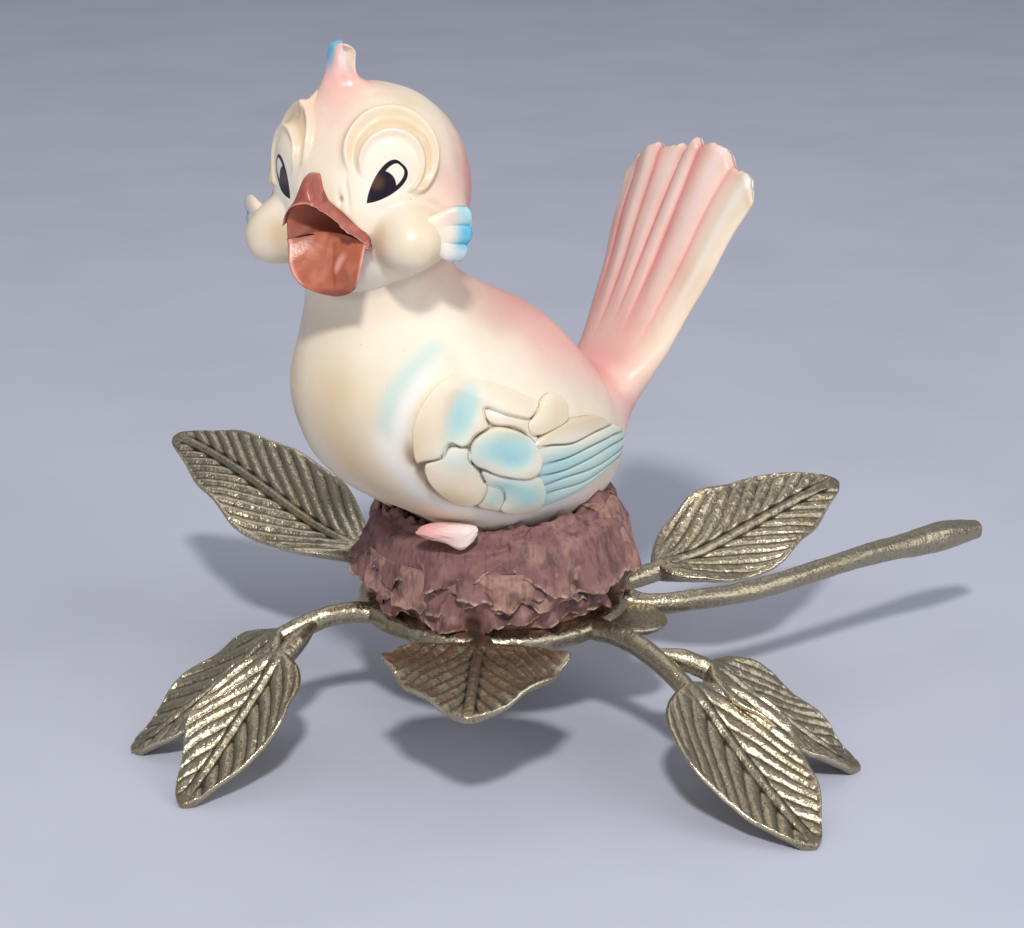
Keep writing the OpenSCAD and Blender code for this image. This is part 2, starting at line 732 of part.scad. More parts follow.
// A flake hangs from its top edge at height h1 to its free edge at h0, both shares of the nest's height.
// Its neighbours lap over it, so that each tier is one collar
flake_cols = 4;
flake_rows = 4;
flake_lap = 1.05;
flake_jitter = 0.02;
flake_curl = 1.4;
function flake_point(around, sweep, h1, h0, v, u, lift) = let (
        h = mix(h1, h0, v*(1 - 0.16*u*u)),
        r = core_r(h) + seat + flake_flare*pow(v, flake_curl) + lift*(1 - 0.4*v))
    heading(around - sweep/2*u)*r + up*(ring_top + nest_h*h);
function flake_edge(around, sweep, h1, h0, v, lift) =
    [for (j = [0:flake_cols]) flake_point(around, sweep, h1, h0, v, 2*j/flake_cols - 1, lift)];
function turned(list) = [for (i = [len(list) - 1:-1:0]) list[i]];
function flake_rings(around, sweep, h1, h0) = [for (i = [0:flake_rows])
    concat(flake_edge(around, sweep, h1, h0, i/flake_rows, flake_t),
        turned(flake_edge(around, sweep, h1, h0, i/flake_rows, 0)))];

module nest_flakes(count, turn, h1, h0) {
    pitch = 360/count;
    for (i = [0:count - 1])
        loft(flake_rings(turn + i*pitch, pitch*flake_lap, h1, h0 + flake_jitter*sin(i*137)), shift = 1);
}

// A tier's top edge is tucked under the tier above, where that one stands off by a flake's thickness
function tuck(h1, h0) = mix(h1, h0 - flake_jitter, pow((flake_t + 2*seat)/flake_flare, 1/flake_curl));
upper_edge = 0.62;
middle_edge = 0.33;
lower_edge = 0.03;
middle_top = tuck(1, upper_edge);
lower_top = tuck(middle_top, middle_edge);

module nest_flakes_lower() {
    color(clay_tint) centred() nest_flakes(13, 0, lower_top, lower_edge);
}

module nest_flakes_middle() {
    color(clay_tint) centred() nest_flakes(12, 10, middle_top, middle_edge);
}

module nest_flakes_upper() {
    color(clay_tint) centred() difference() {
        nest_flakes(11, 4, 1, upper_edge);
        egg(seat);
    }
}

stand_ring();
fixing_strap();
fixing_stud();
fixing_washer();
fixing_nut();
twig();
leaf_back_left();
leaf_back_right();
leaf_front_centre();
front_left_spray();
front_right_spray();
back_spray();
bird_body();
bird_head();
upper_beak();
lower_beak();
crest_feather();
left_cheek_tuft();
right_cheek_tuft();
left_wing_coverts();
right_wing_coverts();
left_wing_primaries();
right_wing_primaries();
tail_fan();
left_foot();
right_foot();
nest_core();
nest_flakes_lower();
nest_flakes_middle();
nest_flakes_upper();
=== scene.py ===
import bpy
import numpy as np
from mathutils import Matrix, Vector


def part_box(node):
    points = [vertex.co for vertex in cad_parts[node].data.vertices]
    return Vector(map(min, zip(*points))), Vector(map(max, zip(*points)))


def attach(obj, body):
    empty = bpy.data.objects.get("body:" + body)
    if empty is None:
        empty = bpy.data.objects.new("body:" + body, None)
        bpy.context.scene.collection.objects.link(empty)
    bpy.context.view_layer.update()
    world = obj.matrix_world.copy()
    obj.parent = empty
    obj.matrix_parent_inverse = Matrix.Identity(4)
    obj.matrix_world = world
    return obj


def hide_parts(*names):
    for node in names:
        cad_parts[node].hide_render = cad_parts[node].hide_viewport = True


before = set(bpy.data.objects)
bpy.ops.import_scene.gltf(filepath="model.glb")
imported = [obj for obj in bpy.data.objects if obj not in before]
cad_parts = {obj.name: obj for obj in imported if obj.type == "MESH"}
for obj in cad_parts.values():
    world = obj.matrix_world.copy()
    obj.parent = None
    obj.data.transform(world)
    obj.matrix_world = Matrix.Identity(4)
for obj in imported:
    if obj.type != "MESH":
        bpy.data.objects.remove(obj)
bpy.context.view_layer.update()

# Lengths are millimetres from the stand ring's axis, heights from the table, angles degrees.
UP = np.array([0.0, 0.0, 1.0])
RING_R, RING_MID, RING_TOP = 25.0, 20.2, 22.0
NEST_H = 17.0
STEM_R, LEAF_TIP_R, LEAF_T = 1.9, 1.1, 1.8
BAR_HALF, BAR_RISE = 2.75, 1.8
LEG_TIP_Z, FORK_SHARE, BRANCH_STEM = 0.3, 0.19, 12.0
HEAD_R = 17.0
AXIS = np.mean([np.array(corner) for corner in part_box("stand_ring")], axis=0)*1000*[1, 1, 0]


def unit(v):
    """Vectors scaled to length one."""
    return v/np.linalg.norm(v, axis=-1, keepdims=True)


def mix(a, b, t):
    """The point a share t of the way from a to b."""
    return a + (b - a)*t


def ease(t):
    """Smooth step from 0 to 1."""
    c = np.clip(t, 0, 1)
    return c*c*(3 - 2*c)


def bell(x, width):
    """Bell curve of height one."""
    return np.exp(-(x/width)**2)


def heading(angle):
    """Level unit vector at an angle from +X."""
    a = np.radians(angle)
    return np.stack([np.cos(a), np.sin(a), np.zeros_like(a)], -1)


def direction(around, rise):
    """Unit vector at an angle about the upright axis and an angle above the level."""
    a, r = np.radians(around), np.radians(rise)
    return np.stack(np.broadcast_arrays(np.cos(r)*np.cos(a), np.cos(r)*np.sin(a), np.sin(r)), -1)


def bezier(p, t):
    """Cubic curve through the first and last of four points."""
    t = np.asarray(t)[..., None]
    return (1 - t)**3*p[0] + 3*(1 - t)**2*t*p[1] + 3*(1 - t)*t*t*p[2] + t**3*p[3]


def bezier_way(p, t):
    """Unit tangent of that curve."""
    t = np.asarray(t)[..., None]
    return unit((1 - t)**2*(p[1] - p[0]) + 2*(1 - t)*t*(p[2] - p[1]) + t*t*(p[3] - p[2]))


def rough(points, size, seed):
    """Smooth noise of about -1 to 1: the mean of sixteen sine waves about size long, in seeded directions."""
    rng = np.random.default_rng(seed)
    ways = unit(rng.normal(size=(16, points.shape[-1])))*(2*np.pi/(size*rng.uniform(0.6, 1.5, (16, 1))))
    return 2.2*np.sin(points @ ways.T + rng.uniform(0, 2*np.pi, 16)).mean(-1)


def plane(*parts):
    """Coordinates put side by side as points."""
    return np.stack(np.broadcast_arrays(*parts), -1)


# Meshes

def grid(points, ends=True, **values):
    """Closed skin over points[row, column]: quads between neighbours, columns closed into a ring.
    The first and last row are closed by fans, or joined to each other if ends is False.
    The sign of the enclosed volume turns the faces outward. values are numbers per point."""
    rows, cols = points.shape[:2]
    index = np.arange(rows*cols).reshape(rows, cols)
    beside = np.roll(index, -1, axis=1)
    if ends:
        a, b, c, d = index[:-1], beside[:-1], beside[1:], index[1:]
    else:
        a, b, c, d = index, beside, np.roll(beside, -1, axis=0), np.roll(index, -1, axis=0)
    quads = np.stack([a, b, c, d], -1).reshape(-1, 4)
    spots = points.reshape(-1, 3)
    fields = {key: np.broadcast_to(v, (rows, cols)).ravel() for key, v in values.items()}
    tris = np.zeros((0, 3), int)
    if ends:
        spots = np.vstack([spots, points[0].mean(0), points[-1].mean(0)])
        first, last = np.full(cols, rows*cols), np.full(cols, rows*cols + 1)
        tris = np.vstack([np.stack([first, beside[0], index[0]], -1),
                          np.stack([last, index[-1], beside[-1]], -1)])
        fields = {key: np.append(v, [v[:cols].mean(), v[-cols:].mean()]) for key, v in fields.items()}
    mid = spots.mean(0)
    corners = np.vstack([quads[:, [0, 1, 2]], quads[:, [0, 2, 3]], tris])
    p, q, r = (spots[corners[:, k]] - mid for k in range(3))
    if np.einsum("ij,ij->i", p, np.cross(q, r)).sum() < 0:
        quads, tris = quads[:, ::-1], tris[:, ::-1]
    return spots, quads, tris, fields


def piece(name, grids, paint):
    """One object from several grids. It rides on the body and stands for the CAD node of its name."""
    spots, faces, start = [], [], 0
    names = sorted({key for g in grids for key in g[3]})
    fields = {key: [] for key in names}
    for co, quads, tris, values in grids:
        spots.append(co)
        faces += (quads + start).tolist() + (tris + start).tolist()
        for key in names:
            fields[key].append(values.get(key, np.zeros(len(co))))
        start += len(co)
    mesh = bpy.data.meshes.new(name)
    mesh.from_pydata(((np.vstack(spots) + AXIS)/1000).tolist(), [], faces)
    for key in names:
        layer = mesh.attributes.new(key, "FLOAT", "POINT")
        layer.data.foreach_set("value", np.concatenate(fields[key]).astype(np.float32))
    mesh.polygons.foreach_set("use_smooth", np.ones(len(mesh.polygons), bool))
    mesh.materials.append(paint.material)
    mesh.update()
    made = bpy.data.objects.new(name, mesh)
    bpy.context.scene.collection.objects.link(made)
    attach(made, "root")
    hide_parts(name)


def loop(count, back):
    """Sheet coordinate w that runs -1 to 1 over the face and back under it, and +1 for the face or -1 for
    the underside."""
    over, under = np.linspace(-1, 1, count), np.linspace(1, -1, back + 2)[1:-1]
    return np.concatenate([over, under]), np.concatenate([np.ones(count), -np.ones(back)])


# Paint

def colour(red, green, blue):
    """Linear colour from screen values of 0 to 255."""
    c = np.array([red, green, blue])/255
    return (*np.where(c <= 0.04045, c/12.92, ((c + 0.055)/1.055)**2.4), 1.0)


class Wire:
    """A shader value that is summed and scaled like a number, each sign being one Math node."""

    def __init__(self, paint, socket):
        self.paint, self.socket = paint, socket

    def math(self, kind, *rest):
        return self.paint.math(kind, self, *rest)

    def __add__(self, other):
        return self.math("ADD", other)

    def __sub__(self, other):
        return self.math("SUBTRACT", other)

    def __mul__(self, other):
        return self.math("MULTIPLY", other)

    def __truediv__(self, other):
        return self.math("DIVIDE", other)

    def __pow__(self, other):
        return self.math("POWER", other)

    def __rsub__(self, other):
        return self.paint.math("SUBTRACT", other, self)

    __radd__ = __add__
    __rmul__ = __mul__

    def step(self, low, high):
        """Smooth step from 0 at low to 1 at high."""
        return self.paint.wire("ShaderNodeMapRange", {"interpolation_type": "SMOOTHSTEP"},
                               {"Value": self, "From Min": low, "From Max": high})


class Paint:
    """One material. Its patterns read the object's place in millimetres and point values of the mesh."""

    def __init__(self, name, **constants):
        self.material = bpy.data.materials.new(name)
        self.material.use_nodes = True
        self.tree = self.material.node_tree
        self.shader = self.tree.nodes["Principled BSDF"]
        for key, value in constants.items():
            self.shader.inputs[key.replace("_", " ")].default_value = value
        self.place = self.scaled(self.node("ShaderNodeTexCoord").outputs["Object"], 1000)

    def node(self, kind, settings=None, inputs=None):
        """Any node, its settings set before its sockets are filled or linked."""
        made = self.tree.nodes.new(kind)
        for key, value in (settings or {}).items():
            setattr(made, key, value)
        for key, value in (inputs or {}).items():
            value = value.socket if isinstance(value, Wire) else value
            if isinstance(value, bpy.types.NodeSocket):
                self.tree.links.new(value, made.inputs[key])
            else:
                made.inputs[key].default_value = value
        return made

    def wire(self, kind, settings=None, inputs=None, output=0):
        return Wire(self, self.node(kind, settings, inputs).outputs[output])

    def math(self, kind, *values):
        return self.wire("ShaderNodeMath", {"operation": kind}, dict(enumerate(values)))

    def vector(self, kind, inputs):
        return self.node("ShaderNodeVectorMath", {"operation": kind}, inputs).outputs

    def scaled(self, socket, size):
        return self.vector("SCALE", {0: socket, "Scale": size})[0]

    def along(self, point, way):
        """How far the surface lies along a direction from a point, in millimetres."""
        from_point = self.vector("SUBTRACT", {0: self.place, 1: tuple(point)})[0]
        return Wire(self, self.vector("DOT_PRODUCT", {0: from_point, 1: tuple(way)})["Value"])

    def value(self, name):
        return self.wire("ShaderNodeAttribute", {"attribute_name": name}, None, "Fac")

    def noise(self, size, detail=2.0, stretch=(1, 1, 1)):
        """Cloudy noise from 0 to 1 with spots about size millimetres across."""
        vector = self.place
        if stretch != (1, 1, 1):
            vector = self.vector("MULTIPLY", {0: vector, 1: stretch})[0]
        return self.wire("ShaderNodeTexNoise", {}, {"Vector": vector, "Scale": 1/size, "Detail": detail},
                         "Fac")

    def cells(self, size):
        """Distance to the nearest of scattered points."""
        return self.wire("ShaderNodeTexVoronoi", {}, {"Vector": self.place, "Scale": 1/size}, "Distance")

    def blend(self, first, second, share):
        """Colour mixed between two."""
        return self.wire("ShaderNodeMix", {"data_type": "RGBA", "clamp_factor": True},
                         {0: share, 6: first, 7: second}, 2)

    def finish(self, base, roughness=None, height=None, depth=0.1):
        """Puts the colour, the roughness and a bump of so many millimetres on the shader."""
        self.tree.links.new(base.socket, self.shader.inputs["Base Color"])
        if roughness is not None:
            self.tree.links.new(roughness.socket, self.shader.inputs["Roughness"])
        if height is not None:
            bump = self.node("ShaderNodeBump", None,
                             {"Height": height, "Distance": depth/1000, "Strength": 1.0})
            self.tree.links.new(bump.outputs["Normal"], self.shader.inputs["Normal"])
        return self


CREAM, WHITE, TAN = colour(241, 229, 206), colour(244, 240, 235), colour(206, 172, 122)
PINK, ROSE = colour(228, 158, 154), colour(196, 92, 98)
TEAL, BLUE = colour(160, 214, 214), colour(82, 178, 208)
INK = colour(30, 20, 36)


def porcelain(name, ground, shine=0.36):
    """Bisque glaze: a ground colour with airbrushed pink, rose, teal and blue and with tan and white taken
    from point values, faint clouding, a few dark specks and a thin dark tone in the grooves. The tan and the
    dark tone also carry painted shade, and the white painted highlights, where a piece puts them."""
    p = Paint(name, Specular_IOR_Level=0.45, Coat_Roughness=0.25)
    cloud, fine = p.noise(9, 3), p.noise(1.1, 3)
    base = p.blend(ground, TAN, cloud.step(0.42, 0.8)*0.2)
    base = p.blend(base, PINK, p.noise(15, 2).step(0.5, 0.78)*0.2)
    drift = (cloud - 0.5)*0.35 + (fine - 0.5)*0.16
    # The tan share also carries painted shade (brow valleys, beside and under the cheeks, under the wing
    # plates); the white share also carries painted highlights on the tail's ridges.
    for key, tone, most in (("tan", TAN, 0.85), ("white", WHITE, 0.9), ("pink", PINK, 0.95),
                            ("rose", ROSE, 0.95), ("teal", TEAL, 0.95), ("blue", BLUE, 0.95)):
        share = p.value(key)
        base = p.blend(base, tone, ((share + drift*share)*most).math("MAXIMUM", 0.0))
    # Dark tone: darkens grooves, and is also painted shade where a piece marks it: under the wing plates, in
    # creases, along the neck seam.
    base = p.blend(base, colour(86, 66, 52), p.value("groove").step(0.15, 1.0)*(0.42 + 0.36*fine))
    speck = p.cells(2.0).step(0.1, 0.04)*p.noise(6, 1).step(0.56, 0.66)
    base = p.blend(base, colour(140, 98, 76), speck*0.5)
    return p, base, (shine + (fine - 0.5)*0.18 + p.value("groove")*0.2), (fine*0.6 + p.noise(0.35, 2)*0.4)


def glazed(name, ground, shine=0.36):
    """A porcelain paint with nothing more on it."""
    p, base, roughness, height = porcelain(name, ground, shine)
    return p.finish(base, roughness, height, 0.05)


def brass_paint(name):
    """Antique brass: olive grey metal, paler where it is worn and with painted highlights on tops and rims,
    near black in grooves and pits and with painted shade on undersides, with a sandy cast skin."""
    p = Paint(name, Metallic=1.0)
    cloud, sand = p.noise(5, 3), p.noise(0.55, 3)
    pits = p.cells(0.9).step(0.3, 0.1)
    base = p.blend(colour(172, 162, 140), colour(178, 160, 126), cloud.step(0.45, 0.75)*0.7)
    base = p.blend(base, colour(110, 98, 78), sand.step(0.5, 0.3)*0.5)
    dark = p.math("MAXIMUM", p.value("groove").step(0.25, 0.95), pits*0.35)
    # Near black: patina in grooves and pits, and painted shade where a piece marks an underside.
    base = p.blend(base, colour(38, 29, 19), dark*0.88)
    # Pale tone: rubbed high points, and painted highlights on tops and rims.
    base = p.blend(base, colour(226, 212, 184), p.value("worn").step(0.2, 1.0)*0.5)
    rough_share = 0.36 + (sand - 0.5)*0.25 + dark*0.25 - p.value("worn")*0.08
    return p.finish(base, rough_share, sand*0.7 + p.noise(1.6, 2)*0.6 - pits*0.3, 0.16)


def steel_paint(name):
    """Zinc-plated steel: grey with a faint mottle."""
    p = Paint(name, Metallic=1.0)
    mottle = p.noise(1.5, 3)
    return p.finish(p.blend(colour(150, 152, 154), colour(112, 112, 110), mottle.step(0.4, 0.7)),
                    0.34 + (mottle - 0.5)*0.2, mottle, 0.03)


def clay_paint(name):
    """Fired clay bark: mauve brown, rust and grey streaks that run down each flake, pale broken edges, and
    painted shade in the hollows, under the flakes and in the bowl."""
    p = Paint(name, Specular_IOR_Level=0.3)
    cloud, grain = p.noise(4.5, 4), p.noise(0.8, 4, (1, 1, 0.22))
    light = (cloud + p.value("shade")*0.45).step(0.5, 0.85)
    base = p.blend(colour(132, 94, 93), colour(170, 132, 118), light*0.8)
    base = p.blend(base, colour(150, 100, 74), p.noise(3.2, 3).step(0.56, 0.72)*0.55)
    base = p.blend(base, colour(72, 60, 60), p.noise(2.6, 3, (1, 1, 0.4)).step(0.54, 0.68)*0.6)
    base = p.blend(base, colour(70, 46, 46), grain.step(0.5, 0.34)*0.4)
    # Near black: painted shade in the flakes' creases, under them and inside the bowl.
    base = p.blend(base, colour(34, 20, 20), p.value("groove").step(0.1, 1.0)*0.85)
    base = p.blend(base, colour(206, 180, 152), p.value("edge")*p.noise(1.3, 3).step(0.44, 0.6))
    return p.finish(base, 0.62 + (grain - 0.5)*0.3, grain*0.8 + p.noise(0.4, 2)*0.3, 0.22)


# Stand

def blade(u):
    """Leaf outline: nothing along the stem, widest a third of the way out, closing to the tip."""
    return np.where((u <= 0) | (u >= 1), 0.0, np.sin(np.pi*np.clip(u, 0, 1)**0.72).clip(0)**0.85)


def leaf_path(start, way, tip_angle, reach, tip_z, root_lift, tip_lift):
    """Midrib: a cubic curve that leaves along way and arrives level at the tip."""
    tip = (RING_R + reach)*heading(tip_angle) + UP*tip_z
    along = unit(tip - start)
    return [start, start + way*reach*0.34 + UP*root_lift, tip - along*[1, 1, 0]*reach*0.36 + UP*tip_lift, tip]


def leaf_grid(path, reach, width, stem, roll, seed, fork=False):
    """Cast leaf: a stem that widens to a folded lens blade about its midrib. The face carries a rib between
    two grooves, and veins that sweep to the tip: pillows |sin|^0.6 between sharp engraved lines. The edge
    waves. A fork starts thin inside its host's stem, any other stem flares at the ring."""
    t = np.linspace(-0.03, 1, 230)[:, None]
    w, side_up = loop(92, 30)
    c = np.clip(t, 0, 1)
    share = stem/reach
    u = (c - share)/(1 - share)
    thin = mix(STEM_R, LEAF_TIP_R, c)
    half = thin + (width/2 - thin)*blade(u)
    half = half*(1 + 0.035*np.sin(7.5*np.pi*c + seed + (w > 0)*1.7)*ease(u*3)*ease((1 - u)*5))
    end = np.sqrt(np.clip(1 - ((c*reach - reach + 1.7)/1.7).clip(0)**2, 0.03, 1))
    root = mix(0.3, 1.0, ease(c*reach/8)) if fork else 1 + 0.3*np.exp(-c*reach/1.8)
    half = half*root*end
    thick = mix(2*STEM_R, LEAF_T, ease(u*(1 - share)/0.2))*np.minimum(root, 1)*np.sqrt(end)
    power = mix(2.0, 7.0, ease(u*4))
    along = bezier_way(path, c[:, 0])
    flat = unit(np.cross(UP, along))
    angle = np.radians(roll)*ease(c/0.4)
    side = flat*np.cos(angle) + np.cross(along, flat)*np.sin(angle)
    face = np.cross(along, side)
    lens = thick/2*np.sqrt(np.clip(1 - np.abs(w)**power, 0, 1))*side_up
    fold = 0.2*(half - np.minimum(half, STEM_R))*w*w
    across = np.abs(half*w)
    on_blade = ease(u*6)*ease((1 - u)*9)
    rim = ease((np.abs(w) - 0.86)/0.1)
    far = c*reach - 1.55*across - 0.03*across**2
    far = far + 0.5*np.sin(0.7*across + seed) + 0.6*np.sin(0.21*c*reach + seed*3)
    phase = far/4.3 + (w > 0)*0.45
    pillow = np.abs(np.sin(np.pi*phase))**0.6
    lines = (1 - rim)*on_blade*ease((across - 0.7)/0.5)
    rib = np.exp(-(across/0.5)**2) - 0.9*np.exp(-((across - 1.0)/0.35)**2)
    relief = (0.62*(pillow - 1)*lines + 0.34*rib*on_blade*ease((1 - u)*3) + 0.12*rim*on_blade)*(side_up > 0)
    wave = 0.7*np.abs(w)**3*np.sin(5.3*np.pi*c + seed*2 + (w > 0)*2.1)*ease(u*3)*ease((1 - u)*4)
    spot = bezier(path, c[:, 0])[:, None] + along[:, None]*(t - c)[..., None]*reach
    points = spot + side[:, None]*(half*w)[..., None]
    cast = 0.1*rough(points, 3.0, 5) + 0.05*rough(points, 1.2, 6)
    points = points + face[:, None]*(lens + fold + relief + wave + cast)[..., None]
    points[..., 2] = np.maximum(points[..., 2], 0.0)
    groove = ((1 - pillow)**1.5*lines + 0.9*np.exp(-((across - 1.0)/0.3)**2)*on_blade)*(side_up > 0)
    # Paler on the rims, the raised pillows and the stem's foot: rubbed high points and painted highlights.
    worn = (rim*on_blade + ease((pillow - 0.75)/0.25)*lines*0.7 + (1 - ease(u*4))*0.5)*(side_up > 0)
    return grid(points, groove=groove, worn=worn)


def on_ring(angle):
    """Point on the ring's outer face at the bar's mid height."""
    return heading(np.asarray(float(angle)))*RING_R + UP*RING_MID


def ring_leaf(root, tip, reach, tip_z, root_lift, tip_lift):
    """Midrib of a leaf that leaves the ring outward at its root angle."""
    return leaf_path(on_ring(root), heading(np.asarray(float(root))), tip, reach, tip_z, root_lift, tip_lift)


def host_branch(path, share, turn):
    """Foot and first direction of a leaf that forks off another one's stem."""
    along = bezier_way(path, share)
    return bezier(path, share), unit(unit(np.cross(UP, along))*turn + along*1.2)


def stand():
    """Ring, twig, three single leaves and three forked leg sprays."""
    paint = brass_paint("antique_brass")
    # root angle, tip angle, reach, width, stem, tip height, root lift, tip lift, roll
    for name, spec, seed in (("leaf_back_left", (146, 141, 58, 21, 6, 33, 3, 0, -28), 1.0),
                             ("leaf_back_right", (16, 26.5, 49, 21, 6, 30, 2, -2, 30), 2.0),
                             ("leaf_front_centre", (264, 265, 28, 31, 2, 19.5, 1, 1, 0), 3.0)):
        root, tip, reach, width, stem, tip_z, root_lift, tip_lift, roll = spec
        path = ring_leaf(root, tip, reach, tip_z, root_lift, tip_lift)
        piece(name, [leaf_grid(path, reach, width, stem, roll, seed)], paint)
    # first leaf: root angle, tip angle, reach, width, stem, root lift, tip lift
    # its branch: tip angle, reach, width, turn, tip lift
    for name, first, branch, seed in (
            ("front_left_spray", (200, 200.5, 43, 17, 15, 3, 7), (220.5, 44, 18, 1, 6), 4.0),
            ("front_right_spray", (317, 310.5, 54, 23, 21, 2, 6), (333, 45, 20, 1, 7), 5.0),
            ("back_spray", (92, 102, 44, 18, 15, 3, 6), (79, 44, 18, -1, 6), 6.0)):
        root, tip, reach, width, stem, root_lift, tip_lift = first
        path = ring_leaf(root, tip, reach, LEG_TIP_Z, root_lift, tip_lift)
        fork_tip, fork_reach, fork_width, turn, fork_lift = branch
        foot, way = host_branch(path, FORK_SHARE, turn)
        second = leaf_path(foot, way, fork_tip, fork_reach, LEG_TIP_Z, 1, fork_lift)
        piece(name, [leaf_grid(path, reach, width, stem, 0, seed),
                     leaf_grid(second, fork_reach, fork_width, BRANCH_STEM, 0, seed + 0.7, True)],
              paint)
    ring(paint)
    twig(paint)


def ring(paint):
    """Half-round bar carried round the axis, its top lumpy as cast, and the web in one corner."""
    around = np.linspace(0, 360, 361)[:-1, None]
    a = np.linspace(0, 2*np.pi, 49)[:-1]
    x = BAR_HALF*np.sign(np.cos(a))*np.abs(np.cos(a))**0.75
    z = BAR_RISE*np.sign(np.sin(a))*np.abs(np.sin(a))**0.75
    centre = RING_R - BAR_HALF
    flat = heading(around[:, 0])
    lump = 0.22*rough(flat*centre, 9.0, 11)[:, None] + 0*x
    points = flat[:, None]*(centre + x)[..., None] + UP*(RING_MID + z + lump*(z > 0)*0.3)[..., None]
    skin = 0.13*rough(points, 3.4, 12) + 0.07*rough(points, 1.3, 13)
    points = points + unit(flat[:, None]*x[:, None] + UP*z[:, None])*skin[..., None]
    web_from, web_to = 318.0, 350.0
    web_around = np.linspace(web_from, web_to, 30)[:, None]
    w, face = loop(26, 12)
    v = (w + 1)/2
    out = mix(-1.5, 7.5*np.sin(np.pi*(web_around - web_from)/(web_to - web_from))**0.7 + 0.6, v)
    thick = 1.1*(1 - 0.35*v)*np.sqrt(np.clip(1 - w**8, 0, 1))*face
    web = heading(web_around[:, 0])[:, None]*(RING_R + out)[..., None]
    web = web + UP*(RING_MID - 0.3 + thick)[..., None]
    web = web + UP*(0.1*rough(web, 2.2, 14))[..., None]
    # The bar's top is painted paler as a painted highlight and its underside darker as painted shade; the web
    # is darker all over.
    bar = grid(points, ends=False, worn=ease(z/BAR_RISE)*0.8 + 0*around, groove=0.3*(z < -1.2) + 0*around)
    piece("stand_ring", [bar, grid(web, groove=0.35 + 0*out)], paint)


def twig(paint):
    """Round bar along a gentle wave, swelling into a bulb, with lengthwise bark ridges and cast lumps."""
    reach, root_angle, tip_angle, bulb_r = 75.0, 349.0, 19.5, 2.9
    t = np.linspace(-0.02, 1, 260)
    c = np.clip(t, 0, 1)
    a, b = on_ring(root_angle), (RING_R + reach)*heading(np.asarray(tip_angle)) + UP*RING_MID
    path = [a, a + heading(np.asarray(root_angle))*reach*0.25, mix(a, b, 0.68) + UP*1.6, b]
    end = np.sqrt(np.clip(1 - ((c - 0.985)/0.015).clip(0)**2, 0.02, 1))
    half = mix(STEM_R, bulb_r, 0.9*np.sin(np.pi*c**5)**2)*end
    half = half*(1 + 0.35*np.exp(-c*reach/2.2))
    turn = np.linspace(0, 2*np.pi, 65)[:-1]
    along = bezier_way(path, c)
    side = unit(np.cross(UP, along))
    ring_way = side[:, None]*np.cos(turn)[:, None] + np.cross(along, side)[:, None]*np.sin(turn)[:, None]
    spine = bezier(path, c) + along*(t - c)[:, None]*reach
    spine = spine + UP*(0.22*np.sin(c*13)*ease(c*3)*ease((1 - c)*4))[:, None]
    far = c[:, None]*reach
    cast = 0.1*rough(plane(far/5, turn*1.9), 2.2, 21) + 0.07*rough(plane(far, turn*1.9), 4.0, 22)
    points = spine[:, None] + ring_way*(half[:, None] + cast)[..., None]
    # The upper side is painted paler as a painted highlight; the cast dents are darker as patina.
    bar = grid(points, worn=ease(ring_way[..., 2])*0.7, groove=ease(-cast/0.2)*0.6)
    piece("twig", [bar], paint)


# Bird

def turned(roll, pitch, turn):
    """Matrix that rolls about x, lifts the nose by pitch and turns about the upright axis."""
    r, p, t = np.radians([roll, pitch, turn])
    about_x = np.array([[1, 0, 0], [0, np.cos(r), -np.sin(r)], [0, np.sin(r), np.cos(r)]])
    about_y = np.array([[np.cos(p), 0, -np.sin(p)], [0, 1, 0], [np.sin(p), 0, np.cos(p)]])
    about_z = np.array([[np.cos(t), -np.sin(t), 0], [np.sin(t), np.cos(t), 0], [0, 0, 1]])
    return about_z @ about_y @ about_x


EGG_LONG, EGG_WIDE = 34.0, 21.0
HEAD_HALF = np.array([16.0, 16.0, 16.75])
PITCH, COURSE, HEAD_COURSE = 25.0, 217.0, 242.0


def egg(d):
    """Distance of the body's skin from its centre: an ellipse turned about its long axis, blunt in front."""
    c = d[..., 0]
    s2 = np.clip(1 - c*c, 0, 1)
    return EGG_LONG*EGG_WIDE/np.sqrt((EGG_WIDE*c)**2 + EGG_LONG**2*s2)*(1 + 0.1*c)


BODY = turned(0, PITCH, COURSE)
LEAN = np.radians(np.arange(0, 181, 3))
EGG_DROP = (egg(plane(np.cos(LEAN), 0, 0))*np.sin(LEAN - np.radians(PITCH))).max()
FORE = heading(np.asarray(COURSE))
BODY_C = FORE*4 + UP*(RING_TOP + NEST_H - 7 + EGG_DROP)
HEAD = turned(3, 0, HEAD_COURSE)
HEAD_C = BODY_C + FORE*21 + UP*45
NECK_TOP, NECK_LOW = HEAD_C[2] - 0.66*HEAD_HALF[2], BODY_C[2] + 0.72*EGG_WIDE
WING_AT, EYE_AT = direction(85, -3), direction(37.5, 8.5)


def tangents(e0):
    """Directions to the left and up along a skin at e0."""
    e1 = unit(np.cross(UP, e0))
    return e1, np.cross(e0, e1)


def wrap(e0, x, y, length):
    """Directions reached from e0 by going x to the left and y up along a skin of that radius."""
    e1, e2 = tangents(e0)
    far = np.hypot(x, y)
    turn = (far/length)[..., None]
    return e0*np.cos(turn) + (e1*x[..., None] + e2*y[..., None])/np.maximum(far, 1e-9)[..., None]*np.sin(turn)


def unwrap(e0, d, length):
    """The way along the skin, left and up, from e0 to directions d."""
    e1, e2 = tangents(e0)
    turn = np.arccos(np.clip(d @ e0, -1, 1))
    scale = turn*length/np.maximum(np.sin(turn), 1e-6)
    return (d @ e1)*scale, (d @ e2)*scale


def sided(v, side):
    """Points or directions mirrored to the bird's right side if side is -1."""
    return v*np.array([1, side, 1])


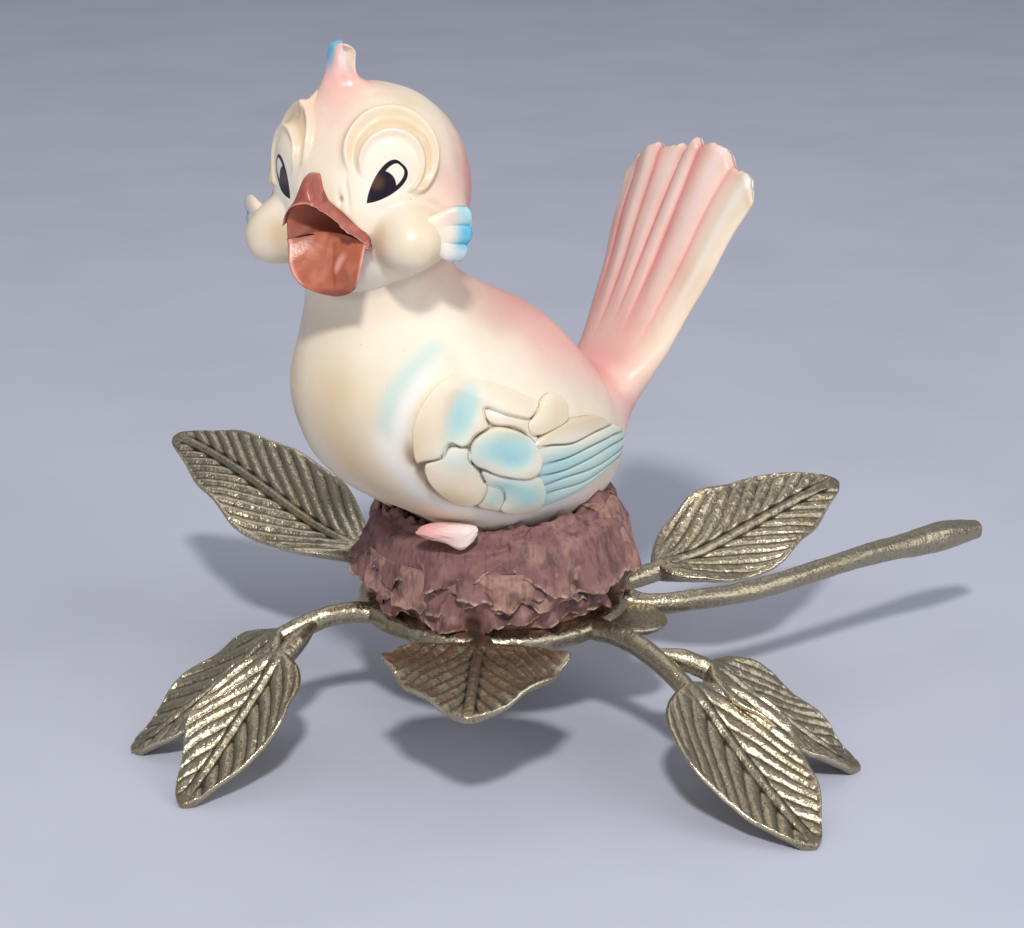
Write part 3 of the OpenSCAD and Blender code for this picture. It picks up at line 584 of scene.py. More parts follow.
WING_R = float(egg(WING_AT))
WING_TOP, WING_TALL = 9.5, 0.915
TAIL_AT, TAIL_WAY, TAIL_LONG = unit(np.array([-25.0, 0, 12])), unit(np.array([-4.0, 0, 48])), 49.0
TAIL_ROOT = TAIL_AT*egg(TAIL_AT)
TAIL_PATH = [TAIL_ROOT, TAIL_ROOT + TAIL_AT*TAIL_LONG*0.06 + TAIL_WAY*TAIL_LONG*0.12,
             mix(TAIL_ROOT, TAIL_ROOT + TAIL_WAY*TAIL_LONG, 0.6), TAIL_ROOT + TAIL_WAY*TAIL_LONG]


def outline(points):
    """Closed smooth curve through outline points: five steps of a Catmull-Rom spline between each two."""
    p = np.asarray(points, float)
    a, b, c, d = (np.roll(p, k, axis=0)[:, None] for k in (1, 0, -1, -2))
    t = np.linspace(0, 1, 6)[:-1, None]
    curve = 0.5*(2*b + (c - a)*t + (2*a - 5*b + 4*c - d)*t**2 + (3*b - a - 3*c + d)*t**3)
    return curve.reshape(-1, 2)


def inside(p, curve):
    """Distance of points to a closed curve, positive within it: the nearest segment's, signed by the
    crossings of a level ray."""
    near, crossed = np.full(p.shape[:-1], 1e9), np.zeros(p.shape[:-1], bool)
    for a, b in zip(curve, np.roll(curve, -1, axis=0)):
        along = b - a
        share = np.clip(((p - a) @ along)/(along @ along), 0, 1)
        near = np.minimum(near, np.hypot(*np.moveaxis(p - a - share[..., None]*along, -1, 0)))
        spans = (a[1] > p[..., 1]) != (b[1] > p[..., 1])
        at = a[0] + (p[..., 1] - a[1])*along[0]/(along[1] if abs(along[1]) > 1e-9 else 1e-9)
        crossed ^= spans & (p[..., 0] < at)
    return np.where(crossed, near, -near)


# Feather plates of a wing: outline in millimetres rearward and up from its middle, and standing height
COVERTS = (
    (((-17.5, -8.1), (-16.9, -7.5), (-15.3, -6.1), (-15.2, -4.3), (-14.9, -3.5), (-13.7, -3.6),
      (-12.9, -2.9), (-12.5, -1.2), (-11.5, 0.1), (-11.3, 0.9), (-12.4, 2.3), (-12.6, 3.0), (-11.9, 3.4),
      (-10.1, 3.4), (-8.1, 3.6), (-5.7, 4.1), (-4.6, 5.5), (-3.8, 7.2), (-3.3, 9.1), (-4.6, 10.6),
      (-8.0, 12.0), (-12.3, 11.2), (-16.4, 9.2), (-17.9, 5.7), (-18.9, 3.4), (-19.6, 0.0), (-19.6, -2.9),
      (-19.2, -4.6), (-18.3, -7.0)), 1.9),
    (((-3.6, 8.6), (-2.2, 10.2), (0.0, 10.2), (1.7, 9.4), (2.5, 7.2), (2.1, 5.7), (-0.5, 3.6),
      (-2.7, 2.1), (-4.3, 1.9), (-5.4, 3.4), (-4.9, 5.2), (-4.0, 7.0)), 1.5),
    (((-12.8, 3.2), (-12.9, 2.4), (-12.2, 1.7), (-10.6, 1.3), (-8.0, 2.0), (-5.8, 1.9), (-4.9, 1.2),
      (-4.6, 0.2), (-3.4, -0.2), (-2.6, 0.6), (-2.8, 1.9), (-4.2, 2.4), (-5.4, 4.6), (-8.0, 4.4),
      (-10.5, 4.2)), 1.2),
    (((-12.4, -4.3), (-12.6, -2.2), (-11.5, 0.2), (-9.6, 1.4), (-6.2, 1.7), (-3.4, 0.9), (-1.0, -0.7),
      (-0.1, -2.6), (-0.1, -4.2), (-1.6, -5.6), (-4.6, -6.2), (-7.3, -6.3), (-9.3, -6.0), (-10.8, -5.8),
      (-11.8, -5.2)), 1.75),
    (((-16.8, -7.8), (-15.4, -6.0), (-14.8, -4.0), (-12.6, -3.6), (-11.2, -5.6), (-9.4, -7.0),
      (-7.6, -9.0), (-7.0, -11.2), (-7.3, -12.9), (-9.0, -13.8), (-11.4, -13.4), (-13.8, -12.1),
      (-15.8, -10.2)), 1.6),
    (((-8.4, -8.0), (-6.8, -7.6), (-4.8, -8.3), (-3.3, -10.4), (-2.2, -13.0), (-4.4, -13.6),
      (-7.2, -13.0)), 1.2),
    (((-9.6, -6.2), (-4.9, -6.0), (0.1, -4.6), (3.3, -6.4), (5.0, -8.6), (5.4, -10.9), (4.0, -12.6),
      (0.8, -13.5), (-2.4, -13.3), (-3.4, -10.6), (-5.2, -8.6), (-8.2, -8.2)), 1.35),
)
FLIGHT_LINES = (
    ((-2.4, 2.1), (2.7, 6.5), (6.7, 8.1), (11.5, 9.3), (15.9, 8.5)),
    ((-3.0, 0.0), (0.5, 1.3), (5.0, 2.7), (10.6, 5.9), (16.6, 8.4)),
    ((-2.0, -3.0), (4.5, -0.3), (10.2, 3.1), (16.8, 6.1), (21.4, 7.5)),
    ((-1.0, -5.0), (4.9, -2.8), (9.6, 0.0), (16.4, 3.9), (22.4, 6.2)),
    ((0.5, -7.2), (6.8, -3.7), (12.7, -1.0), (18.4, 2.2), (22.8, 4.6)),
    ((2.0, -8.6), (7.2, -6.2), (12.5, -3.7), (17.4, -0.2), (23.2, 3.7)),
    ((3.5, -12.0), (8.3, -9.1), (13.0, -5.6), (17.6, -1.2), (23.2, 3.1)),
)
FLIGHTS = tuple((FLIGHT_LINES[k] + FLIGHT_LINES[k + 1][::-1], 1.45 - 0.1*k) for k in range(6))


def merge(a, b, soft):
    """Smooth minimum of two distances, rounded where they differ by less than soft."""
    return np.minimum(a, b) - np.clip(soft - np.abs(a - b), 0, None)**2/(4*soft)


def fillet(points, ways, skin, soft, most):
    """Points moved out along their ways until a smooth minimum of the move and of the distance to a host's
    skin is nought, so that the piece flares into its host. The move has a limit."""
    out = np.zeros(points.shape[:-1])
    for _ in range(40):
        out = np.clip(out - 0.6*merge(skin(points + ways*out[..., None]), out, soft), 0, most)
    return points + ways*out[..., None]


def above_egg(q):
    """Height of body-frame points above the egg's skin, along the ray from its centre."""
    n = np.linalg.norm(q, axis=-1)
    return n - egg(q/n[..., None])


def above_body(q):
    """Height over the egg's skin with a fuller shoulder and back and a slimmer belly in front of the nest."""
    def near(x, z, spread):
        return bell(np.arccos(np.clip(unit(q) @ unit(np.array([x, 0, z])), -1, 1)), spread)
    shoulder, back, belly = near(0.5, 0.865, 0.34), near(-0.05, 1.0, 0.42), near(0.46, -0.89, 0.42)
    return above_egg(q) - 1.5*shoulder - 1.6*back + 3.0*belly


def back_blush(q):
    """Pink and rose on the back and rump for directions from the egg's centre."""
    back = ease((q[..., 2] - 0.35)/0.5)*ease((0.75 - q[..., 0])/0.6)
    rump = bell(np.arccos(np.clip(q @ unit(np.array([-25.0, 0, 15])), -1, 1)), 0.5)
    return np.clip(0.7*back + 0.8*rump, 0, 1), 0.3*rump**3


def belly_white(q, level):
    """White on the belly, below a level just over the nest."""
    return 0.5*ease((RING_TOP + NEST_H + 7 - level)/6)*ease((0.4 - q[..., 0])*2)


def body():
    """Egg and neck as one skin: from a point under the neck, each ray runs to where a smooth minimum of the
    distances to the egg and to an upright round-ended neck is nought. The paint follows the gap to the
    wing's plates and puts a painted shadow just below the lower ones, and a dark line along the seam under
    the head that is partly painted shade."""
    rise, around = np.linspace(-89.4, 89.4, 250)[:, None], np.linspace(0, 360, 361)[:-1]
    d = direction(around, rise)
    start = BODY_C + FORE*13 + UP*7
    far = np.full(d.shape[:2], 4.0)
    for _ in range(60):
        p = start + d*far[..., None]
        level = np.clip(p[..., 2], NECK_LOW + 3, NECK_TOP - 4)
        lean = 0.15*(NECK_TOP - 4 - level)
        stalk = p - plane(HEAD_C[0] - lean*FORE[0], HEAD_C[1] - lean*FORE[1], level)
        column = np.linalg.norm(stalk, axis=-1) - 12.0
        soft = 10 + 3*ease((HEAD_C - p) @ FORE/9)
        far = far - 0.6*merge(above_body((p - BODY_C) @ BODY), column, soft)
    points = start + d*far[..., None]
    points = points + d*(0.12*rough(points, 11, 31))[..., None]
    q = unit((points - BODY_C) @ BODY)
    x, y = unwrap(WING_AT, q*plane(1, np.sign(q[..., 1]), 1), WING_R)
    y = mix(WING_TOP, y, 1/WING_TALL)
    gap = -np.max([inside(plane(x, y), outline(edge)) for edge, _ in COVERTS + FLIGHTS], axis=0)
    level = points[..., 2]
    pink, rose = back_blush(q)
    front = ease((-8 - x)/5)
    low = ease((-y - 3)/5)
    beside = front*ease((8 - y)/5)*(1 - low)
    arc = bell(gap - 2.8, 1.0)*front*ease((12 - y)/4)*(1 - low)
    # Painted shadow on the skin just below the lower wing plates, carried by the tan and the dark tone.
    shade = bell(gap - 0.5, 0.9)*low
    band = np.clip(bell(gap - 1.3, 1.0)*beside + bell(gap - 2.6, 1.5)*low, 0, 1)
    warm = (bell(gap - 7.5, 3.2)*ease((4 - y)/6)*ease((-6 - x)/5)
            + 0.4*bell(gap - 8.5, 2.5)*front*ease((12 - y)/6))
    neck = ease((level - NECK_LOW - 2)/6)
    # A dark line where the neck enters the head: the joint and the shade under the head, painted.
    seam_and_shade = bell(above_skull((points - HEAD_C) @ HEAD) - 0.2, 1.3)
    tan = 0.36*warm + 0.2*ease((q[..., 0] - 0.55)*2)*ease((0.3 - q[..., 2])*2) + 0.75*shade
    skin = grid(points, pink=pink, rose=rose + 0.35*neck*ease((q[..., 2] - 0.4)*3), teal=0.5*arc,
                white=np.clip(belly_white(q, level) + 0.85*band, 0, 1), tan=np.clip(tan, 0, 1),
                groove=np.clip(0.9*shade + 0.5*seam_and_shade, 0, 1))
    piece("bird_body", [skin], glazed("body_glaze", CREAM))


def from_way(d, around, rise):
    """Angle in degrees between directions d and one direction of the head."""
    return np.degrees(np.arccos(np.clip(d @ direction(around, rise), -1, 1)))


def skull(d):
    """Distance of the head's skin from its centre: an ellipsoid with puffs for cheeks, tufts, brows, chin
    and crest, and a moat before each cheek."""
    def puff(around, rise, size, spread, power):
        return size*np.exp(-(from_way(d, around, rise)/spread)**power)
    ball = np.minimum(from_way(d, 50, -21), from_way(d, -50, -21))
    ahead = ease((ease(np.abs(d[..., 1])*20)*d[..., 0] - 0.1)*4)
    return (1/np.linalg.norm(d/HEAD_HALF, axis=-1)
            + puff(50, -21, 6.5, 16, 2.6) + puff(-50, -21, 6.5, 16, 2.6)
            + puff(55, 36, 1.4, 24, 2) + puff(-55, 36, 1.4, 24, 2)
            + puff(0, -48, 3.2, 36, 2) + puff(-24, 71, 1.2, 16, 2)
            + puff(79, -13, 2.6, 14, 2) + puff(-79, -13, 2.6, 14, 2)
            - 0.8*bell(ball - 20, 4.5)*ahead*ease((0.1 - d[..., 2])*5))


def above_skull(q):
    """Height of head-frame points above the head's skin, along the ray from its centre."""
    n = np.linalg.norm(q, axis=-1)
    return n - skull(q/n[..., None])


def crown_blush(d):
    """Share of pink on the crown: a bell about the crest and two fainter ones before it."""
    return (0.8*bell(from_way(d, -24, 74), 19) + 0.16*bell(from_way(d, 10, 52), 16)
            + 0.08*bell(from_way(d, -10, 44), 18))


def in_head(points):
    """Head-frame points brought to the ring's frame."""
    return HEAD_C + points @ HEAD.T


def in_body(points):
    """Body-frame points brought to the ring's frame."""
    return BODY_C + points @ BODY.T


def brow(d, side):
    """Brow folds about one eye: ridges at a polar distance that swells above the eye. Returns their height,
    the shade of the valley and of the outer foot, and the eye's socket."""
    x, y = unwrap(EYE_AT, sided(d, side), HEAD_R)
    far, angle = np.hypot(x, y), np.degrees(np.arctan2(y, x))
    window = ease((angle + 22)/16)*ease((156 - angle)/30)
    outer = 13.2*np.exp(-((angle - 73)/95)**2)
    inner = 9.0*np.exp(-((angle - 68)/95)**2)
    third = mix(inner, outer, 0.55)
    ridge = 1.15*bell(far - outer, 0.72)*window + 0.9*bell(far - inner, 0.62)*window
    ridge = ridge + 0.55*bell(far - third, 0.5)*ease((angle + 18)/14)*ease((62 - angle)/24)
    valley = bell(far - mix(inner, outer, 0.5), 1.5)*window
    socket = bell(np.hypot(x, y + 0.3), 5.2)
    return ridge - 0.35*valley - 0.5*socket, valley, bell(far - outer - 1.1, 0.8)*window, socket


def head():
    """Skull on a polar grid with the brow folds, a mouth hollow under the upper beak and a fold below the
    crest."""
    rise, around = np.linspace(-89.3, 89.3, 230)[:, None], np.linspace(0, 360, 401)[:-1]
    d = direction(around, rise)
    left, right = brow(d, 1), brow(d, -1)
    x, y = unwrap(direction(0, -3), d, HEAD_R)
    droop = np.clip(x, 0, 7)
    mouth = np.exp(-((x - 0.4)/5.6)**4 - ((y + 2.8 + 0.065*droop**2)/(3.4 - 0.29*droop))**4)
    cx, cy = unwrap(direction(-24, 62), d, HEAD_R)
    fold = 0.8*bell(cx + 2.2 + 0.03*cy*cy, 0.8)*ease((cy + 5.5)/3)*ease((4 - cy)/4)
    pit = bell(np.hypot(x - 3.6, 0.6*(y - 1.6)), 0.36)
    frown = (bell(np.abs(x) - 4.9 + 0.1*y, 0.3)*bell(y - 2.6, 2.2)
             + 0.8*bell(np.abs(x) - 3.4 + 0.1*y, 0.26)*bell(y - 1.6, 1.3))
    radius = skull(d) + left[0] + right[0] - 5.0*mouth + fold - 0.4*frown - 0.5*pit
    points = in_head(d*(radius + 0.1*rough(d*HEAD_R, 6, 41))[..., None])

    def near(a, r, spread):
        return bell(from_way(d, a, r), spread)
    valley = left[1] + right[1]
    pink = (crown_blush(d) + 0.55*near(108, 6, 24) + 0.55*near(-108, 6, 24)
            + 0.35*near(74, 0, 12) + 0.35*near(-74, 0, 12))
    rose = 0.75*near(122, -6, 32) + 0.75*near(-122, -6, 32) + 0.5*near(180, -25, 40)
    ball = np.minimum(from_way(d, 50, -21), from_way(d, -50, -21))
    inner = ease((d[..., 0]/np.hypot(d[..., 0], d[..., 1]) - 0.72)*8)*ease((-4 - rise)/8)
    # Tan here is partly painted shade: in the brow valleys, at the brow folds' outer foot, below the cheek
    # balls and in the crease before them.
    tan = (0.62*valley + 0.4*bell(ball, 14) + 0.6*bell(ball - 17, 4.5)*ease((-8 - rise)/10)
           + 0.4*bell(ball - 18, 3.5)*inner
           + 0.35*near(50, -4, 10) + 0.35*near(-50, -4, 10)
           + 0.3*near(70, 62, 18) + 0.3*near(-70, 62, 18) + 0.3*(left[2] + right[2]))
    white = 0.5*(left[3] + right[3])*(1 - valley) + 0.5*near(24, -34, 14) + 0.5*near(-24, -34, 14)
    # The dark tone in the frown creases, in the pit and at the brow folds' outer foot is painted shade.
    skin = grid(points, pink=np.clip(pink*(1 - 0.8*valley), 0, 1), rose=np.clip(rose, 0, 1),
                tan=np.clip(tan, 0, 1), white=np.clip(white, 0, 1), mouth=mouth,
                groove=0.14*np.clip(left[2] + right[2], 0, 1) + 0.3*frown + 0.9*pit)
    piece("bird_head", [skin], head_paint())


def head_paint():
    """Head glaze with the mouth's brown and two painted eyes. An eye is a leaf shape along an axis from its
    beak-side tip: half width share^0.8 (1 - share)^0.34, dark with a brown glint, and white outside a round
    pupil in its upper part."""
    p, base, roughness, height = porcelain("head_glaze", CREAM)
    base = p.blend(base, colour(112, 56, 42), p.value("mouth").step(0.25, 0.7))
    for side in (1, -1):
        e1, e2 = (sided(e, side) @ HEAD.T for e in tangents(EYE_AT))
        out = sided(EYE_AT, side) @ HEAD.T
        centre = HEAD_C + AXIS
        x, y = p.along(centre, e1), p.along(centre, e2)
        front = p.along(centre, out).step(8, 11)
        ax, ay = 0.718, 0.696

        def leaf(tip_x, tip_y, length, above, below):
            """One inside the leaf shape, nought outside."""
            along = ((x - tip_x)*ax + (y - tip_y)*ay)/length
            share = along.math("MAXIMUM", 0.0001).math("MINIMUM", 0.9999)
            off = (y - tip_y)*ax - (x - tip_x)*ay
            wide = share**0.8*(1 - share)**0.34/0.503
            over = off.step(-0.05, 0.05)
            within = wide*(over*above + (1 - over)*below) - off.math("ABSOLUTE")
            return within.step(0.02, 0.16)*along.step(1.0, 0.99)*along.step(0.0, 0.01)*front

        rim = leaf(-3.1, -2.4, 8.5, 2.05, 2.5)
        pupil = ((x + 0.6)**2.0 + (y - 0.2)**2.0)**0.5
        white = leaf(-2.3, -1.7, 7.0, 1.3, 1.75)*pupil.step(2.35, 2.55)*(x + y).step(0.6, 1.0)
        glint = (1.6 - ((x + 1.2)**2.0 + (y - 0.8)**2.0)**0.5).step(-0.2, 1.2)*rim
        base = p.blend(base, p.blend(INK, colour(84, 60, 46), glint), rim)
        base = p.blend(base, colour(240, 234, 214), white)
        roughness = roughness - rim*0.16
    return p.finish(base, roughness, height, 0.05)


def beaks():
    """Upper beak: a hood from a peaked line on the face to an arched lip that stands out, thick at the lip.
    Lower beak: a scoop from the mouth to a hanging rounded tip, with raised side rims and a crease down its
    middle, and the lining of the mouth."""
    def terracotta(name, tone, lit):
        p = Paint(name, Specular_IOR_Level=0.5)
        cloud, fine = p.noise(2.4, 3), p.noise(0.5, 3)
        base = p.blend(tone, lit, cloud.step(0.4, 0.75)*0.6)
        # Dark tone: painted shade under the hood, at the scoop's root and lower lip, in its crease and deep
        # in the mouth's lining.
        base = p.blend(base, colour(118, 54, 44), p.value("groove").step(0.1, 1.0)*0.75)
        # Pale tone: painted highlight on the lip, the knobs, the scoop's rims and a streak beside its crease.
        base = p.blend(base, colour(240, 178, 164), p.value("worn").step(0.2, 1.0)*0.8)
        return p.finish(base, 0.34 + (fine - 0.5)*0.25 + p.value("groove")*0.3, cloud*0.6 + fine*0.4, 0.1)

    w, face = loop(64, 64)
    v = (w + 1)/2
    u = np.linspace(-0.995, 0.995, 120)[:, None]
    off = (u + 0.28)/np.where(u < -0.28, 0.72, 1.28)
    base_x = np.where(u < 0, 5.8, 6.9)*u + 0.4
    aside = np.abs(base_x + 1.45)
    slope = np.where(base_x < -1.45, 0.9, 0.93)
    base_y = 5.9 - 2.9*ease((aside - 0.8)/1.8) - slope*np.clip(aside - 1.2, 0, None)
    lip_x = np.where(u < 0, 5.9, 6.3)*u + 1.7
    lip_y = 1.5 - np.where(off < 0, 1.8*off**2 + 1.6*off**8, 7.6*np.abs(off)**1.6)
    x, y = mix(base_x, lip_x, v), mix(base_y, lip_y, v)
    lift = (4.2 - 1.3*u - 1.2*u*u)*v**0.8 + 1.3*np.sin(np.pi*v**0.8)*bell(u + 0.26, 0.24)
    d = wrap(direction(0, -3), x, y, HEAD_R)
    knobs = rough(plane(x + 0*y, y + 0*x), 1.7, 51)*ease((u + 0.25)/0.3)*ease((v - 0.1)*4)
    lift = np.where(face > 0, lift + 0.8*knobs, (lift + 1.4)*v - 1.4 - 0.8*np.sin(np.pi*v))
    points = in_head(d*(skull(d) + lift)[..., None])
    # Painted highlight on the lip's edge and the knobs' tops, painted shade on the hood's underside.
    piece("upper_beak", [grid(points, worn=bell(v - 1, 0.07)*0.8 + ease(knobs)*0.5*(face > 0),
                              groove=np.where(face < 0, 0.7, 0.0) + 0*u)],
          terracotta("upper_beak_glaze", colour(152, 76, 66), colour(198, 112, 94)))
    lip = d[:, 58]*(skull(d[:, 58]) + 0.8*lift[:, 58])[..., None]

    s = np.linspace(0.0, 0.998, 110)[:, None]
    half = (5.6 - 2.9*s**0.9)*np.clip(1 - s**5, 0, 1)**0.5
    x = half*w + 1.75 + 0.35*s**3
    y = 4.4 - 6.1*s - 0.14*x + 0.9*(1 - w*w)*(1 - s)**2
    rim = 1 - (1 - np.abs(w)**2.4)*(1 - s**7)
    valley = w - 0.1 + 0.16*s
    crease = bell(valley, 0.1)*ease(s*3)*ease((0.95 - s)*4)
    trough = np.where(valley > 0, 1.9, 1.0)*np.sqrt(valley**2 + 0.006)*ease(s*3)*ease((0.95 - s)*2)
    bed = 0.2 + 3.1*ease(s*1.15) + mix(2.9 - 0.9*w, 1.7 + 0*w, s**3)*(1 - 0.4*s)*rim + trough - 0.4*crease
    d = wrap(direction(0, -32), x, y, HEAD_R)
    under = np.minimum(bed - 1.2, mix(-1.2, 2.4, ease(s*1.15)) - 1.2*(1 - w*w)*(1 - s))
    lift = np.where(face > 0, bed, under)
    points = in_head(d*(skull(d) + lift + 0.07*rough(plane(x, y), 2.0, 52))[..., None])
    # A painted highlight beside the crease and along the rims; painted shade in the crease, at the scoop's
    # root under the hood and on the lower lip.
    highlight_streak = 0.8*bell(valley - 0.14 - 0.8*(0.6 - s), 0.16)*ease((s - 0.1)*3.5)*ease((0.78 - s)*3.5)
    scoop = grid(points, worn=bell(np.abs(w) - 0.97, 0.05)*0.8*ease((0.8 - s)*6) + highlight_streak*(face > 0),
                 groove=np.clip(0.5*crease + 0.4*ease((0.12 - s)*8) + 0.9*ease((s - 0.8)*7), 0, 1)*(face > 0))
    # lining of the mouth: a bowl between the upper lip and the scoop's root
    q = (w + 1)/2
    edge = np.stack([np.interp(np.linspace(0, 1, 120), np.linspace(0, 1, 64), points_of) for points_of in
                     (d[2, :64]*(skull(d[2, :64]) + bed[2, :64] - 0.1)[..., None]).T], axis=-1)
    sheet = mix(lip[:, None], edge[:, None], q[:, None])
    deep = 4.6*np.clip(1 - u**2, 0, 1)*np.sin(np.pi*q)**0.8
    deep = deep + np.where(face > 0, 0.0, 0.7)*np.clip(1 - w**8, 0, 1)
    sheet = in_head(sheet - unit(sheet)*deep[..., None])
    # The lining is darkened all over and most toward the scoop's root: painted shade inside the mouth.
    piece("lower_beak", [scoop, grid(sheet, groove=0.4 + 0.6*q**2 + 0*u)],
          terracotta("lower_beak_glaze", colour(174, 94, 66), colour(206, 126, 94)))


def crest():
    """Folded feather pulled out of the crown: a spine whose section narrows from the crown and curls forward
    at its left edge."""
    e0 = direction(-24, 71)
    root = e0*(skull(e0) - 3.6)
    path = [root, root + e0*4.0, root + np.array([0.3, 0.2, 7.2]), root + np.array([0.9, 0.9, 10.4])]
    t = np.linspace(0, 1, 90)[:, None]
    a = np.linspace(0, 2*np.pi, 73)[:-1]
    along = bezier_way(path, t[:, 0])
    side = unit(np.cross(along, unit(np.array([0.88, 0.47, 0]))))
    face = np.cross(side, along)
    wide = mix(2.6, 2.2, t)*np.sqrt(np.clip(1 - ((t - 0.88)/0.12).clip(0)**2, 0.03, 1))
    thick = mix(1.5, 0.8, t)
    x = np.cos(a)
    curl = (1.5*np.clip(x, 0, 1)**2 - 0.4*np.clip(-x, 0, 1)**2)*ease((t - 0.25)*3)
    notch = -1.1*bell(x - 0.3, 0.3)*ease((t - 0.8)*5)
    points = (bezier(path, t[:, 0])[:, None] + side[:, None]*(wide*x)[..., None]
              + face[:, None]*(thick*np.sin(a) + curl)[..., None] + along[:, None]*notch[..., None])
    points = points + (0.1*rough(points, 2.0, 61))[..., None]*face[:, None]
    ways = unit(side[:, None]*(x/wide)[..., None] + face[:, None]*(np.sin(a)/thick)[..., None])
    points = fillet(points, ways, lambda q: above_skull(q) + 0.1, 4.2, 5.0)
    blush = crown_blush(unit(points))
    high = ease((t - 0.42)*3)
    skin = grid(in_head(points), pink=blush*(1 - 0.6*high*ease(x*2 + 0.9)),
                blue=high*ease((-x - 0.35)*2.6)*0.95, white=high*bell(x + 0.05, 0.4)*0.8)
    piece("crest_feather", [skin], glazed("crest_glaze", CREAM, 0.26))


def tufts():
    """Cheek tufts: a fan of three lobes that leaves the cheek backwards, shorter between the lobes."""
    paint = glazed("tuft_glaze", CREAM, 0.24)
    s = np.linspace(0, 1, 90)[:, None]
    w, face = loop(80, 40)
    lobe = np.abs(np.sin(np.pi*(w + 1)*1.5))**0.45
    reach = (8.2 - 1.0*w**2 + 0.2*w)*(0.9 + 0.1*lobe)
    half = mix(2.2, 4.6, ease(s*1.25))
    thick = mix(1.7, 0.55, s**0.7)*np.sqrt(np.clip(1 - np.abs(w)**5, 0, 1))*np.sqrt(np.clip(1 - s**10, 0, 1))
    e0 = direction(56, -16)
    root = e0*(skull(e0) - 4.6)
    out = direction(114, -9)
    across = unit(np.cross(out, np.cross(UP, out)))
    normal = np.cross(across, out)
    normal = normal*np.sign(normal @ e0)
    far = reach*s
    relief = 0.4*(lobe - 1)*ease((s - 0.45)*2.2)*(face > 0)
    bend = -0.012*far**2
    points = (root + out*far[..., None] + across*(half*w)[..., None]
              + normal*(thick*face + relief + bend + 0.9)[..., None])
    tip = ease((s - 0.56)*3)
    top, low = ease((w - 0.25)*3), ease((-w - 0.3)*3)
    # The dark tone between the lobes is painted shade.
    fields = dict(pink=(0.1 + 0.35*top)*(1 - tip)*ease((s - 0.3)*3),
                  blue=tip*(1 - 0.6*top)*(1 - 0.5*low),
                  teal=tip*0.6*top,
                  white=(0.5*low + 0.3)*(1 - tip)*ease((s - 0.35)*4),
                  groove=0.3*(1 - lobe)*ease((s - 0.45)*2.2)*(face > 0))
    for name, side in (("left_cheek_tuft", 1), ("right_cheek_tuft", -1)):
        piece(name, [grid(in_head(sided(points, side)), **fields)], paint)


def wing_patch(low, high, plates, crown, hollows=(), sink=0.0):
    """Closed patch on the body's left skin. Its face stands as high as the highest plate at each spot, each
    plate rising steeply at its edge and crowned to its middle. Hollows are scooped out, and the first
    plate's top may sink into the body. Returns points, plane coordinates and groove shade."""
    count = int((high[0] - low[0])/0.16), int((high[1] - low[1])/0.16)
    w, face = loop(count[1], 24)
    x = np.linspace(low[0], high[0], count[0])[:, None]
    x, y = np.broadcast_arrays(x, mix(low[1], high[1], (w + 1)/2))
    spots = plane(x, y)
    depths = [inside(spots, outline(points)) for points, _ in plates]
    crowns = [crown*(1 - np.exp(-np.clip(s, 0, None)/1.6)) for s in depths]
    stands = [np.where(s > -0.12, level*ease((s + 0.12)/0.42) + raised, -0.7)
              for s, raised, (_, level) in zip(depths, crowns, plates)]
    fade = sink*ease((y - 4.0)/5.2)*ease((-1.5 - x)/2)
    stands[0] = mix(stands[0], -0.16, fade)
    lines = [1 - fade] + [1.0]*(len(plates) - 1)
    height = np.max(stands, axis=0)
    for cx, cy, rx, ry, deep in hollows:
        height = height - deep*np.exp(-(((x - cx)/rx)**2 + ((y - cy)/ry)**2)**2)
    # Dark lines just outside each plate's edge, where it stands over a lower one: painted shade.
    groove = np.max([share*bell(s + 0.08, 0.11)*(level + 0.15 > height)
                     for s, (_, level), share in zip(depths, plates, lines)], axis=0)
    d = wrap(WING_AT, x, mix(WING_TOP, y, WING_TALL), WING_R)
    lift = np.where(face > 0, height, -1.2)
    return d*(egg(d) + lift)[..., None], x, y, groove*(face > 0)


